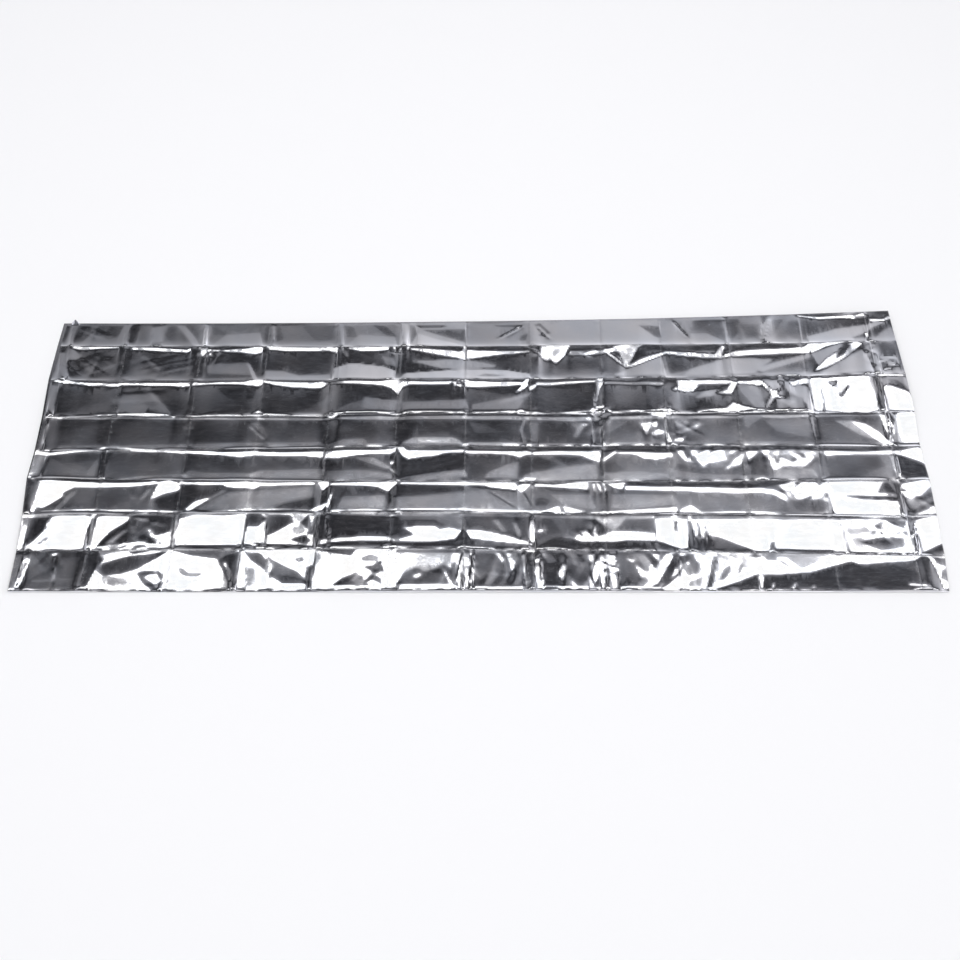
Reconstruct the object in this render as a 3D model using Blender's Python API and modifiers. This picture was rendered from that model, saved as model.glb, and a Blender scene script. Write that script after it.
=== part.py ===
"""Emergency foil blanket, folded once along its length and laid out flat.

The blanket is one cut of film, 2.10 m by 1.60 m. It is folded in half, so it lies as two
layers of 2.10 m by 0.80 m that are joined along the front by a soft roll. The lower layer
lies flat on the floor. The upper layer keeps the folds of its packet: seven along the
blanket and twelve across it, with a slightly pillowed cell between them.

+X runs along the blanket, +Y from the roll at the front to the two cut edges at the back,
and +Z is up. The origin is on the floor, under the middle of the footprint. All lengths
are in metres, and a level is that of the middle of the film above the floor.
"""

import math
from collections import namedtuple

import bmesh
import bpy

NAME = "foil_blanket"
FILM_THICKNESS = 0.001  # stands in for a film of 12 micrometres
FLOOR_LEVEL = FILM_THICKNESS / 2  # the middle of the lower layer
LEAST_LEVEL = 0.0021  # the upper layer never lies lower than this
ROLL_RADIUS = 0.0030  # of the middle of the film, round the front
ROLL_STEPS = 6
CREASE_DEPTH = 0.0016  # how far a fold across the blanket stands up or dips
CREASE_REACH = 0.16  # share of a cell over which the film comes back from that fold
PILLOW = 0.0009  # how far the middle of a cell stands above or below its four folds
PEEK_LEFT = 0.010  # how far the lower layer shows at the back left corner
PEEK_RIGHT = -0.006  # it stays inside the upper layer at the back right corner
PEEK_BACK = 0.004  # how far it shows along the back
TIP_LIFT = 0.010  # the back left corner of the upper layer curls up
TIP_SHIFT = 0.012  # and a little way in over the blanket

# How much of a fold's crest is left at this distance from it.
Shoulder = namedtuple("Shoulder", "distance share")
SHOULDERS = (Shoulder(0.010, 0.30), Shoulder(0.030, 0.04))

# The folds along the blanket, from the back to the front. slant is how much further back
# the right end of a fold lies than its left end, and bow how much further back both ends
# lie than its middle. crest is how far the fold stands above the film beside it; left and
# right are the blanket's ends.
RowFold = namedtuple("RowFold", "kind y slant bow crest left right")
ROW_FOLDS = (
    RowFold("back edge", 0.3728, 0.036, 0.011, 0.0000, -1.039, 1.038),
    RowFold("ridge", 0.2916, 0.010, 0.006, 0.0020, -1.044, 1.042),
    RowFold("ridge", 0.1871, 0.014, 0.005, 0.0020, -1.049, 1.047),
    RowFold("valley", 0.0826, 0.015, -0.004, -0.0014, -1.046, 1.050),
    RowFold("ridge", -0.0139, 0.016, -0.006, 0.0022, -1.047, 1.047),
    RowFold("ridge", -0.1135, -0.003, 0.009, 0.0022, -1.052, 1.052),
    RowFold("valley", -0.2004, -0.006, -0.007, -0.0014, -1.045, 1.050),
    RowFold("valley", -0.2979, -0.012, -0.009, -0.0014, -1.041, 1.048),
    RowFold("front roll", -0.4040, 0.000, 0.000, 0.0000, -1.040, 1.040),
)

# The levels of those folds at five places that are spaced evenly along the blanket.
Levels = namedtuple("Levels", "left quarter middle three_quarters right")
FOLD_LEVELS = (
    Levels(0.0060, 0.0059, 0.0048, 0.0075, 0.0134),
    Levels(0.0061, 0.0060, 0.0075, 0.0095, 0.0124),
    Levels(0.0054, 0.0052, 0.0088, 0.0091, 0.0134),
    Levels(0.0056, 0.0050, 0.0078, 0.0080, 0.0085),
    Levels(0.0052, 0.0042, 0.0067, 0.0059, 0.0046),
    Levels(0.0055, 0.0043, 0.0066, 0.0047, 0.0047),
    Levels(0.0051, 0.0046, 0.0060, 0.0046, 0.0044),
    Levels(0.0034, 0.0037, 0.0069, 0.0041, 0.0038),
    Levels(0.0065, 0.0065, 0.0065, 0.0065, 0.0065),
)

# The folds across the blanket. lean is how much further right the back of a fold lies than
# its front, lift scales the crests that it crosses, and jog moves them to the back there.
ColumnFold = namedtuple("ColumnFold", "x lean lift jog")
COLUMN_FOLDS = (
    ColumnFold(-0.880, 0.001, 0.80, 0.002),
    ColumnFold(-0.692, 0.002, 0.95, -0.001),
    ColumnFold(-0.530, 0.014, 0.85, 0.001),
    ColumnFold(-0.362, 0.018, 1.00, -0.002),
    ColumnFold(-0.198, 0.009, 0.90, 0.001),
    ColumnFold(-0.032, 0.005, 1.15, -0.001),
    ColumnFold(0.125, 0.006, 0.95, 0.002),
    ColumnFold(0.296, 0.023, 1.10, -0.002),
    ColumnFold(0.450, 0.010, 0.90, 0.001),
    ColumnFold(0.623, 0.003, 1.15, -0.002),
    ColumnFold(0.803, 0.009, 1.00, 0.002),
    ColumnFold(0.978, -0.006, 0.85, -0.001),
)
END_LIFT = 0.80  # lift at the two ends of the blanket

HALF_LENGTH = max(fold.right for fold in ROW_FOLDS)
HALF_DEPTH = -ROW_FOLDS[-1].y

# A line of the film that runs along the blanket, and a place on it. ahead is the share of
# the way from the fold behind the line to the fold in front of it.
Section = namedtuple("Section", "kind panel ahead y slant bow z left right")
Station = namedtuple("Station", "cell share")


def between(a, b, share):
    """The value at this share of the way from a to b."""
    return a + (b - a) * share


def panel_sections(panel):
    """The fold at the back of one panel, and the sections between it and the next fold."""
    back = ROW_FOLDS[panel]
    found = [
        Section(
            back.kind, panel, 0.0, back.y, back.slant, back.bow, back.crest, back.left, back.right
        )
    ]
    length = back.y - ROW_FOLDS[panel + 1].y
    for shoulder in SHOULDERS:
        crest = back.crest * shoulder.share
        found.append(inner_section(panel, shoulder.distance / length, crest))
    for shoulder in reversed(SHOULDERS):
        crest = ROW_FOLDS[panel + 1].crest * shoulder.share
        found.append(inner_section(panel, 1 - shoulder.distance / length, crest))
    return found


def inner_section(panel, ahead, crest):
    """A section between the two folds of a panel."""
    back = ROW_FOLDS[panel]
    front = ROW_FOLDS[panel + 1]
    return Section(
        "inner",
        panel,
        ahead,
        between(back.y, front.y, ahead),
        between(back.slant, front.slant, ahead),
        between(back.bow, front.bow, ahead),
        crest,
        between(back.left, front.left, ahead),
        between(back.right, front.right, ahead),
    )


def roll_sections():
    """The sections round the front, from the upper layer down to the lower one."""
    front = ROW_FOLDS[-1]
    middle_y = front.y + ROLL_RADIUS + FLOOR_LEVEL
    middle_z = ROLL_RADIUS + FLOOR_LEVEL
    found = []
    for step in range(ROLL_STEPS + 1):
        turn = math.pi * (0.5 - step / ROLL_STEPS)
        y = middle_y - ROLL_RADIUS * math.cos(turn)
        z = middle_z + ROLL_RADIUS * math.sin(turn)
        found.append(Section("roll", None, 0.0, y, 0.0, 0.0, z, front.left, front.right))
    return found


def lower_section(fold, share):
    """A section of the lower layer, this share of the way from the roll to the back."""
    y = fold.y + PEEK_BACK * share
    left = fold.left - PEEK_LEFT * share
    right = fold.right + PEEK_RIGHT * share
    return Section("lower", None, 0.0, y, fold.slant, fold.bow, FLOOR_LEVEL, left, right)


def sections():
    """All sections of the film in order: upper layer, front roll, lower layer."""
    found = []
    for panel in range(len(ROW_FOLDS) - 1):
        found.extend(panel_sections(panel))
    found.extend(roll_sections())
    found.append(lower_section(ROW_FOLDS[4], 0.5))
    found.append(lower_section(ROW_FOLDS[0], 1.0))
    return found


def stations():
    """The places that each section is cut at: each fold, and beside it on both sides."""
    found = []
    for cell in range(len(COLUMN_FOLDS) + 1):
        for share in (0.0, CREASE_REACH, 1 - CREASE_REACH):
            found.append(Station(cell, share))
    found.append(Station(len(COLUMN_FOLDS), 1.0))
    return found


def column_fold(number, section):
    """x, lift and jog at this section of a fold across the blanket, or of an end of it."""
    if number < 0:
        return section.left, END_LIFT, 0.0
    if number == len(COLUMN_FOLDS):
        return section.right, END_LIFT, 0.0
    fold = COLUMN_FOLDS[number]
    return fold.x + fold.lean * section.y / (2 * HALF_DEPTH), fold.lift, fold.jog


def fold_level(number, x):
    """The level of one fold along the blanket, at this distance right of the middle."""
    levels = FOLD_LEVELS[number]
    place = (x / HALF_LENGTH + 1) / 2 * (len(levels) - 1)
    first = min(max(int(place), 0), len(levels) - 2)
    return between(levels[first], levels[first + 1], place - first)


def upper_height(section, station, lift, x):
    """The height of the upper layer at one station of a section."""
    back_level = fold_level(section.panel, x)
    front_level = fold_level(section.panel + 1, x)
    height = between(back_level, front_level, section.ahead) + section.z * lift
    turned = -1 if (section.panel + station.cell) % 2 else 1
    on_crease = station.share == 0.0 and station.cell > 0
    if section.kind == "inner" and on_crease:
        height += CREASE_DEPTH * turned
    elif section.kind == "inner":
        height += PILLOW * turned
    if section.kind == "back edge" and station == Station(0, 0.0):
        height += TIP_LIFT
    return max(height, LEAST_LEVEL)


def place(section, station):
    """The point of the film's middle at one section and one station."""
    left_x, left_lift, left_jog = column_fold(station.cell - 1, section)
    right_x, right_lift, right_jog = column_fold(station.cell, section)
    x = between(left_x, right_x, station.share)
    y = section.y
    z = section.z
    y += section.slant * x / (2 * HALF_LENGTH) + section.bow * (x / HALF_LENGTH) ** 2
    if section.panel is not None:
        lift = between(left_lift, right_lift, station.share)
        z = upper_height(section, station, lift, x)
    if section.kind in ("ridge", "valley"):
        y += between(left_jog, right_jog, station.share)
    if section.kind == "back edge" and station == Station(0, 0.0):
        x += TIP_SHIFT
    return x, y, z


def make_film():
    """The blanket: a flat grid that is folded to its sections, and given its thickness."""
    rows = sections()
    columns = stations()
    mesh = bpy.data.meshes.new(NAME)
    shape = bmesh.new()
    bmesh.ops.create_grid(
        shape, x_segments=len(columns) - 1, y_segments=len(rows) - 1, size=0.5
    )
    for vert in shape.verts:
        column = round((vert.co.x + 0.5) * (len(columns) - 1))
        row = round((0.5 - vert.co.y) * (len(rows) - 1))
        vert.co = place(rows[row], columns[column])
    for face in shape.faces:
        face.smooth = True
    shape.to_mesh(mesh)
    shape.free()
    mesh.set_sharp_from_angle(angle=math.radians(9))
    film = bpy.data.objects.new(NAME, mesh)
    thickness = film.modifiers.new("film thickness", "SOLIDIFY")
    thickness.thickness = FILM_THICKNESS
    thickness.offset = 0.0
    thickness.use_even_offset = True
    return film


def silver_film():
    """Bright aluminised film."""
    material = bpy.data.materials.new("silver_film")
    material.use_nodes = True
    shader = material.node_tree.nodes["Principled BSDF"]
    shader.inputs["Base Color"].default_value = (0.80, 0.81, 0.84, 1.0)
    shader.inputs["Metallic"].default_value = 1.0
    shader.inputs["Roughness"].default_value = 0.12
    return material


def main():
    """Clears the scene and makes the blanket in a collection of its own."""
    for obj in list(bpy.data.objects):
        bpy.data.objects.remove(obj)
    collection = bpy.data.collections.new("emergency foil blanket")
    bpy.context.scene.collection.children.link(collection)
    film = make_film()
    film.data.materials.append(silver_film())
    collection.objects.link(film)


main()
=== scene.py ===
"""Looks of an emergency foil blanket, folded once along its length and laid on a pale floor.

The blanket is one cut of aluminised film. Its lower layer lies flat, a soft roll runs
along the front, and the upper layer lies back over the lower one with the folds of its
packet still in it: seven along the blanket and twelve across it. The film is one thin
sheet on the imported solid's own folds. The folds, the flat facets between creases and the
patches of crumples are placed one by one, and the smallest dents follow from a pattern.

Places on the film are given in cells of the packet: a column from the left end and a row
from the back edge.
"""

from __future__ import annotations

import logging
import math
from dataclasses import dataclass, field
from enum import Enum
from typing import Any, Sequence

import bpy
import numpy as np
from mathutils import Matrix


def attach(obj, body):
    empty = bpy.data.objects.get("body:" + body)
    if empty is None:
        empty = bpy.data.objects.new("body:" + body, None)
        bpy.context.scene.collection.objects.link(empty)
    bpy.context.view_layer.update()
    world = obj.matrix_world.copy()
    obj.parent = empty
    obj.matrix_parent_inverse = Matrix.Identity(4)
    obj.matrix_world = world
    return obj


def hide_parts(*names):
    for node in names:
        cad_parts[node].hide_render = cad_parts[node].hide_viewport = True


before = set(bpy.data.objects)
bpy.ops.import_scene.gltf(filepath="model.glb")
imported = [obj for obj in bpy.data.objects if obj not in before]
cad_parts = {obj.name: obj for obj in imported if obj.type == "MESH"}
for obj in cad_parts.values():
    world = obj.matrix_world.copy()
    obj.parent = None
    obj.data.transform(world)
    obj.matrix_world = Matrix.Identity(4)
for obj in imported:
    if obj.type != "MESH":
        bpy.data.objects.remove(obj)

MM = 0.001
RISING = (0.0, 1.0)
FADING = (1.0, 0.0)
LOG = logging.getLogger("foil_blanket")
Array = np.ndarray

# First seed of each kind of pattern that has one for every fold or patch
LONG_FOLD_SEED = 60
CROSS_FOLD_SEED = 80
CRUSH_SEED = 200
CRUSH_CROSS_SEED = 300
BEND_SEED = 1000


# ---- Shader maths ----


@dataclass(frozen=True)
class Value:
    """A number that a node gives, with the usual arithmetic on it."""

    nodes: "NodeSheet"
    socket: Any

    def _maths(self, operation: str, first: Any, second: Any) -> "Value":
        """Adds one Math node.

        Args:
            operation: The Math node's operation.
            first: A Value or a plain number.
            second: A Value or a plain number.

        Returns:
            The node's result.
        """
        return self.nodes.add("ShaderNodeMath", {"operation": operation}, {0: first, 1: second})

    def __add__(self, other: Any) -> "Value":
        """This value plus another."""
        return self._maths("ADD", self, other)

    def __radd__(self, other: Any) -> "Value":
        """Another value plus this one."""
        return self._maths("ADD", other, self)

    def __sub__(self, other: Any) -> "Value":
        """This value less another."""
        return self._maths("SUBTRACT", self, other)

    def __rsub__(self, other: Any) -> "Value":
        """Another value less this one."""
        return self._maths("SUBTRACT", other, self)

    def __mul__(self, other: Any) -> "Value":
        """This value times another."""
        return self._maths("MULTIPLY", self, other)

    def __rmul__(self, other: Any) -> "Value":
        """Another value times this one."""
        return self._maths("MULTIPLY", other, self)

    def __truediv__(self, other: Any) -> "Value":
        """This value over another."""
        return self._maths("DIVIDE", self, other)

    def __rtruediv__(self, other: Any) -> "Value":
        """Another value over this one."""
        return self._maths("DIVIDE", other, self)

    def __abs__(self) -> "Value":
        """The size of this value, whatever its sign."""
        return self._maths("ABSOLUTE", self, 0.0)

    def angle(self, other: Any) -> "Value":
        """The angle, in radians, whose tangent is this value over another."""
        return self._maths("ARCTAN2", self, other)

    def twin(self, output: str) -> "Value":
        """Another output of the same node, by its name."""
        return Value(self.nodes, self.socket.node.outputs[output])


class NodeSheet:
    """A node tree that is filled by calls and by arithmetic on their results."""

    def __init__(self, tree: bpy.types.NodeTree) -> None:
        """Starts from an emptied tree.

        Args:
            tree: The node tree of a material or of the world.
        """
        self.tree = tree
        self.tree.nodes.clear()

    def add(
        self,
        kind: str,
        settings: dict[str, Any] | None = None,
        inputs: dict[Any, Any] | None = None,
        output: Any = 0,
    ) -> Value:
        """Adds one node, sets it up and links it.

        Args:
            kind: The node's type.
            settings: Its own settings; "stops" holds a colour ramp's (place, colour) pairs.
            inputs: The value or link of each socket, by its name or number.
            output: The socket that the result reads, by its name or number.

        Returns:
            The chosen output, ready for arithmetic.
        """
        node = self.tree.nodes.new(kind)
        for name, setting in (settings or {}).items():
            if name == "stops":
                self._set_stops(node.color_ramp, setting)
            else:
                setattr(node, name, setting)
        for name, given in (inputs or {}).items():
            if isinstance(given, Value):
                self.tree.links.new(given.socket, node.inputs[name])
            else:
                node.inputs[name].default_value = given
        return Value(self, node.outputs[output]) if len(node.outputs) else Value(self, None)

    @staticmethod
    def _set_stops(ramp: bpy.types.ColorRamp, stops: Sequence[tuple[float, Any]]) -> None:
        """Gives a colour ramp its stops.

        Args:
            ramp: The ramp of a new node, with its two first stops.
            stops: Place and colour of each stop, from low to high.
        """
        while len(ramp.elements) < len(stops):
            ramp.elements.new(1.0)
        for element, (place, colour) in zip(ramp.elements, stops):
            element.position = place
            element.color = (*colour, 1.0)

    def surface(self, inputs: dict[str, Any]) -> None:
        """Adds a Principled shader and the material's output."""
        shader = self.add("ShaderNodeBsdfPrincipled", {}, inputs)
        self.add("ShaderNodeOutputMaterial", {}, {"Surface": shader})

    def mix(self, share: Any, first: Any, second: Any) -> Value:
        """Mixes two colours.

        Args:
            share: How much of the second colour there is.
            first: A colour of four numbers, or a link.
            second: A colour of four numbers, or a link.

        Returns:
            The mixed colour.
        """
        return self.add("ShaderNodeMix", {"data_type": "RGBA"}, {0: share, 6: first, 7: second}, 2)

    def between(self, value: Any, source: Sequence[float], target: Sequence[float]) -> Value:
        """Maps a number from one range to another and keeps it in the second.

        Args:
            value: The number to map.
            source: Start and end of the range it comes from.
            target: Start and end of the range it goes to.

        Returns:
            The mapped number.
        """
        inputs = {0: value, 1: source[0], 2: source[1], 3: target[0], 4: target[1]}
        return self.add("ShaderNodeMapRange", {}, inputs)


# ---- Finishes ----


def new_material(name: str) -> tuple[bpy.types.Material, NodeSheet]:
    """Starts a material.

    Args:
        name: The material's name.

    Returns:
        The material and the sheet for its nodes.
    """
    material = bpy.data.materials.new(name)
    material.use_nodes = True
    return material, NodeSheet(material.node_tree)


@dataclass(frozen=True)
class FilmFinish:
    """Bright aluminised film, a little dull and worn where it is creased.

    The scales say how many patches, streaks, ripples or cracks there are in a metre.
    """

    name: str = "silver_film"
    cool: tuple[float, float, float] = (0.80, 0.82, 0.87)
    warm: tuple[float, float, float] = (0.86, 0.85, 0.87)
    worn: tuple[float, float, float] = (0.62, 0.62, 0.65)
    bright_roughness: float = 0.03
    dull_roughness: float = 0.08
    wear_roughness: float = 0.20
    wrinkle_height: float = 0.00030
    wrinkle_strength: float = 0.06
    worn_share: float = 0.55
    patch_scale: float = 9.0
    patch_range: tuple[float, float] = (0.35, 0.65)
    streak_scale: float = 34.0
    streak_squeeze: float = 3.2
    streak_range: tuple[float, float] = (0.30, 0.72)
    ripple_scale: float = 120.0
    crack_scale: float = 70.0
    crack_width: float = 0.12
    crack_depth: float = 0.5

    def build(self) -> bpy.types.Material:
        """Makes the material.

        Returns:
            The film's material.
        """
        material, nodes = new_material(self.name)
        place = nodes.add("ShaderNodeTexCoord", output="Object")
        wear = nodes.add("ShaderNodeAttribute", {"attribute_name": "wear"}, output="Fac")
        patch = nodes.add(
            "ShaderNodeTexNoise",
            {},
            {"Vector": place, "Scale": self.patch_scale, "Detail": 3.0, "Roughness": 0.55},
        )
        squeeze = (1.0, self.streak_squeeze, 1.0)
        streak_place = nodes.add("ShaderNodeMapping", {}, {"Vector": place, "Scale": squeeze})
        streak = nodes.add(
            "ShaderNodeTexNoise",
            {},
            {"Vector": streak_place, "Scale": self.streak_scale, "Detail": 2.0, "Distortion": 0.6},
        )
        tint = nodes.between(patch, self.patch_range, RISING)
        silver = nodes.mix(tint, (*self.cool, 1.0), (*self.warm, 1.0))
        colour = nodes.mix(wear * self.worn_share, silver, (*self.worn, 1.0))
        duller = self.dull_roughness - self.bright_roughness
        dullness = nodes.between(streak, self.streak_range, RISING)
        roughness = dullness * duller + self.bright_roughness
        roughness = roughness + wear * (self.wear_roughness - self.dull_roughness)
        nodes.surface(
            {
                "Base Color": colour,
                "Metallic": 1.0,
                "Roughness": roughness,
                "Normal": self._wrinkles(nodes, place, wear),
            }
        )
        return material

    def _wrinkles(self, nodes: NodeSheet, place: Value, wear: Value) -> Value:
        """The finest wrinkles of the film, too small to model.

        Args:
            nodes: The material's nodes.
            place: Where a point lies on the blanket.
            wear: How close it is to a fold.

        Returns:
            The wrinkled normal.
        """
        ripple = nodes.add(
            "ShaderNodeTexNoise",
            {},
            {
                "Vector": place,
                "Scale": self.ripple_scale,
                "Detail": 3.0,
                "Roughness": 0.5,
                "Distortion": 0.8,
            },
        )
        broken = nodes.add(
            "ShaderNodeTexVoronoi",
            {"feature": "DISTANCE_TO_EDGE"},
            {"Vector": place, "Scale": self.crack_scale, "Randomness": 1.0},
        )
        crack = nodes.between(broken, (0.0, self.crack_width), FADING)
        return nodes.add(
            "ShaderNodeBump",
            {},
            {
                "Strength": self.wrinkle_strength,
                "Distance": self.wrinkle_height,
                "Height": ripple + crack * wear * self.crack_depth,
            },
        )


@dataclass(frozen=True)
class FloorFinish:
    """A plain pale matt floor."""

    name: str = "pale_floor"
    colour: tuple[float, float, float] = (0.92, 0.92, 0.92)
    roughness: float = 0.9
    shine: float = 0.1

    def build(self) -> bpy.types.Material:
        """Makes the material.

        Returns:
            The floor's material.
        """
        material, nodes = new_material(self.name)
        nodes.surface(
            {
                "Base Color": (*self.colour, 1.0),
                "Roughness": self.roughness,
                "Specular IOR Level": self.shine,
            }
        )
        return material


# ---- The folds of the packet ----


class FoldKind(Enum):
    """How the film turns at a line along the blanket."""

    CUT = "cut edge"
    RIDGE = "ridge"
    VALLEY = "valley"
    ROLL = "roll"


class Look(Enum):
    """Which part of the room a facet mirrors, as degrees over the horizon.

    Somebody standing in front of the blanket sees that part of the room in the facet. Most
    tones are found twice, over the darkest band of the walls and under it, and the facet is
    tilted to the side of that band on which it would lie if it were flat.
    """

    LIGHT = (62.8, 62.4)
    HAZE = (60.15, 26.0)
    BLUSH = (60.15, 60.15)
    PALE = (59.5, 38.5)
    SOFT = (58.0, 46.0)
    GREY = (58.2, 45.0)
    WALL = (56.9, 49.5)
    DIM = (56.6, 50.0)
    DUSK = (55.4, 51.6)
    SHADE = (55.0, 51.9)
    DARK = (54.3, 52.5)
    BLACK = (53.3, 53.3)

    def __call__(self, *places: float) -> "Facet":
        """Places a facet of this look in its row of cells.

        Args:
            places: Column and row of each corner in turn, in hundredths of a cell from the
                left end of the blanket and from the back of the row.

        Returns:
            The facet.
        """
        return Facet(self, tuple(zip(places[::2], places[1::2])))

    def strip(self, *places: float) -> "Facet":
        """Places a long narrow facet of this look beside a fold.

        Args:
            places: Column, row of the back side and row of the front side at each station
                in turn, from the left, in hundredths of a cell.

        Returns:
            The facet.
        """
        back, front = zip(places[::3], places[1::3]), zip(places[::3], places[2::3])
        return Facet(self, (*back, *reversed(tuple(front))))

    def toward(self, flat: float) -> float:
        """Chooses between the two parts of the room of this tone.

        Args:
            flat: What the film would mirror there if it lay flat, in degrees.

        Returns:
            The part of the room, in degrees.
        """
        over, under = self.value
        return over if flat > Look.BLACK.value[0] else under


@dataclass(frozen=True)
class LongFold:
    """A line along the blanket, in metres.

    slant is how much further back its right end lies than its left end, and bow how much
    further back both ends lie than its middle. rise, how far the film comes up to the line,
    and highest, the most that it stands over the floor, are in millimetres.
    """

    kind: FoldKind
    y: float
    slant: float
    bow: float
    left: float
    right: float
    rise: float = 0.0
    highest: float = 11.0


@dataclass(frozen=True)
class CrossFold:
    """A fold across the blanket, in metres.

    lean is how much further right its back end lies than its front end. rises says how
    sharp it is in each row from the back, and is negative where it is a trough.
    """

    x: float
    lean: float
    rises: tuple[float, ...]


@dataclass(frozen=True)
class Packet:
    """Where the packet was folded: eight rows of cells, and thirteen cells a row.

    Sizes are in metres, and cut_levels, the heights of the back edge at the ends of its
    cells, in millimetres. tones hold, row by row, what each cell mirrors where no facet is
    placed, in degrees over the horizon. The long folds wander a little.
    """

    half_length: float = 1.052
    half_depth: float = 0.404
    cell_size: tuple[float, float] = (0.162, 0.0975)
    wander: float = 0.0007
    wander_size: float = 0.045
    long_folds: tuple[LongFold, ...] = (
        LongFold(FoldKind.CUT, 0.3728, 0.036, 0.011, -1.039, 1.038),
        LongFold(FoldKind.RIDGE, 0.2916, 0.010, 0.006, -1.044, 1.042, 1, 12),
        LongFold(FoldKind.RIDGE, 0.1871, 0.014, 0.005, -1.049, 1.047, 0.6, 14),
        LongFold(FoldKind.VALLEY, 0.0826, 0.015, -0.004, -1.046, 1.050, 0, 8),
        LongFold(FoldKind.RIDGE, -0.0139, 0.016, -0.006, -1.047, 1.047, 0, 9),
        LongFold(FoldKind.RIDGE, -0.1135, -0.003, 0.009, -1.052, 1.052, 0, 9.5),
        LongFold(FoldKind.VALLEY, -0.2004, -0.006, -0.007, -1.045, 1.050, 0, 9),
        LongFold(FoldKind.VALLEY, -0.2979, -0.012, -0.009, -1.041, 1.048, 0, 8.5),
        LongFold(FoldKind.ROLL, -0.4035, 0, 0, -1.040, 1.040, 0, 7),
    )
    cut_levels: tuple[float, ...] = (5, 5, 5, 5, 4.5, 3.5, 3.5, 4.5, 5, 6, 7.5, 9.5, 12, 13)
    cross_folds: tuple[CrossFold, ...] = (
        CrossFold(-0.880, 0.001, (0.9, 0.5, 0.1, -0.08, -0.16, 0.16, -0.9, 0.9)),
        CrossFold(-0.692, 0.002, (-0.8, 0.6, -0.1, 0.1, 0.08, -0.32, 1, -0.8)),
        CrossFold(-0.530, 0.014, (0.5, -0.5, 0.12, -0.1, 0.08, 0.2, -0.8, 0.8)),
        CrossFold(-0.362, 0.018, (0.7, 0.6, -0.08, 0.08, 0.1, -0.32, 0.9, -0.8)),
        CrossFold(-0.198, 0.009, (0.5, -0.6, 0.12, 0.06, -0.18, 0.2, -0.6, 1)),
        CrossFold(-0.032, 0.005, (-0.8, 0.6, 0.15, -0.12, 0.18, 0.3, 0.6, 1)),
        CrossFold(0.125, 0.006, (0.4, -0.5, 0.15, 0.27, -0.12, 0.3, 0.9, -1.1)),
        CrossFold(0.296, 0.023, (-0.4, 0.6, 0.9, 1, 0.6, 0.3, -0.5, 1)),
        CrossFold(0.450, 0.010, (0.5, -0.5, 0.4, 0.9, -0.6, 0.4, -0.8, 0.9)),
        CrossFold(0.623, 0.003, (-0.7, 0.6, -0.5, 0.6, 0.7, -0.4, 0.5, 0.9)),
        CrossFold(0.803, 0.009, (0.7, -0.6, 0.9, -0.6, 0.5, 0.5, 0.9, -0.5)),
        CrossFold(0.978, -0.006, (0.9, 0.9, -1.2, 1.2, 0.8, -1.2, 1.2, 0.8)),
    )
    tones: tuple[tuple[float, ...], ...] = (
        (50.5, 51.5, 51, 51, 50, 45, 49, 46.5, 46, 48.5, 50.5, 51.5, 52),
        (53, 52.5, 53, 52.5, 53, 53, 53, 51.5, 52, 50.5, 52, 51.5, 51.5),
        (52, 52.5, 52, 52.5, 53, 53, 52, 52.5, 51.5, 52, 51, 50.5, 50),
        (55, 55, 55, 55, 54.5, 54, 54, 54, 55.5, 55, 54.5, 54.5, 55.5),
        (57, 56, 55, 55, 55, 54, 54.5, 56, 56, 57, 56, 56, 55),
        (58, 56.5, 55.5, 57, 55, 56.5, 57.5, 56, 55.5, 56.5, 56, 57.5, 56),
        (59.5, 58.5, 57.5, 58.5, 55, 56.5, 53.5, 53.5, 56.5, 57, 57, 56.5, 56.5),
        (57.5, 59.5, 59, 59, 58, 58, 53.5, 54, 56, 55.5, 53.5, 53.5, 53.5),
    )

    @property
    def rows(self) -> int:
        """How many rows of cells there are."""
        return len(self.long_folds) - 1

    @property
    def cells(self) -> int:
        """How many cells a row has."""
        return len(self.cross_folds) + 1

    def fold_y(self, number: int, x: Array) -> Array:
        """Where one long fold runs.

        Args:
            number: The fold, from the back.
            x: Places along the blanket.

        Returns:
            The fold's y at each place.
        """
        fold = self.long_folds[number]
        share = x / self.half_length
        return fold.y + fold.slant * share / 2 + fold.bow * share**2

    def cross_x(self, row: Array) -> list[Array]:
        """Where the two ends and the folds across lie.

        Args:
            row: How many rows from the back each place lies, with its fraction.

        Returns:
            For each end or fold, from the left, its x at each place.
        """
        lines = np.arange(len(self.long_folds))
        y = np.interp(row, lines, [fold.y for fold in self.long_folds])
        left = np.interp(row, lines, [fold.left for fold in self.long_folds])
        right = np.interp(row, lines, [fold.right for fold in self.long_folds])
        inner = [fold.x + fold.lean * y / (2 * self.half_depth) for fold in self.cross_folds]
        return [left, *inner, right]


@dataclass(frozen=True)
class Facet:
    """A flat part of the film between creases.

    corners are (column, row) pairs: how many cells from the left end and how many rows
    from the back edge each corner lies.
    """

    look: Look
    corners: tuple[tuple[float, float], ...]

    def in_row(self, row: int) -> "Facet":
        """This facet, placed in hundredths of a cell, in cells and in the given row."""
        corners = tuple((u / 100, (v + 100 * row) / 100) for u, v in self.corners)
        return Facet(self.look, corners)


@dataclass(frozen=True)
class Swing:
    """A measure that changes unevenly from each facet of a run to the next."""

    mean: float
    change: float
    pace: float
    shift: float

    def at(self, number: int, first: float) -> float:
        """Its value for one facet of the run that begins at the column first."""
        return self.mean + self.change * math.sin(self.pace * number + self.shift * first)


SHARD_LEAN = Swing(0.5, 0.9, 12.9, 0.782)
SHARD_REACH = Swing(0.7, 0.3, 4.1, 0.077)


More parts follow.
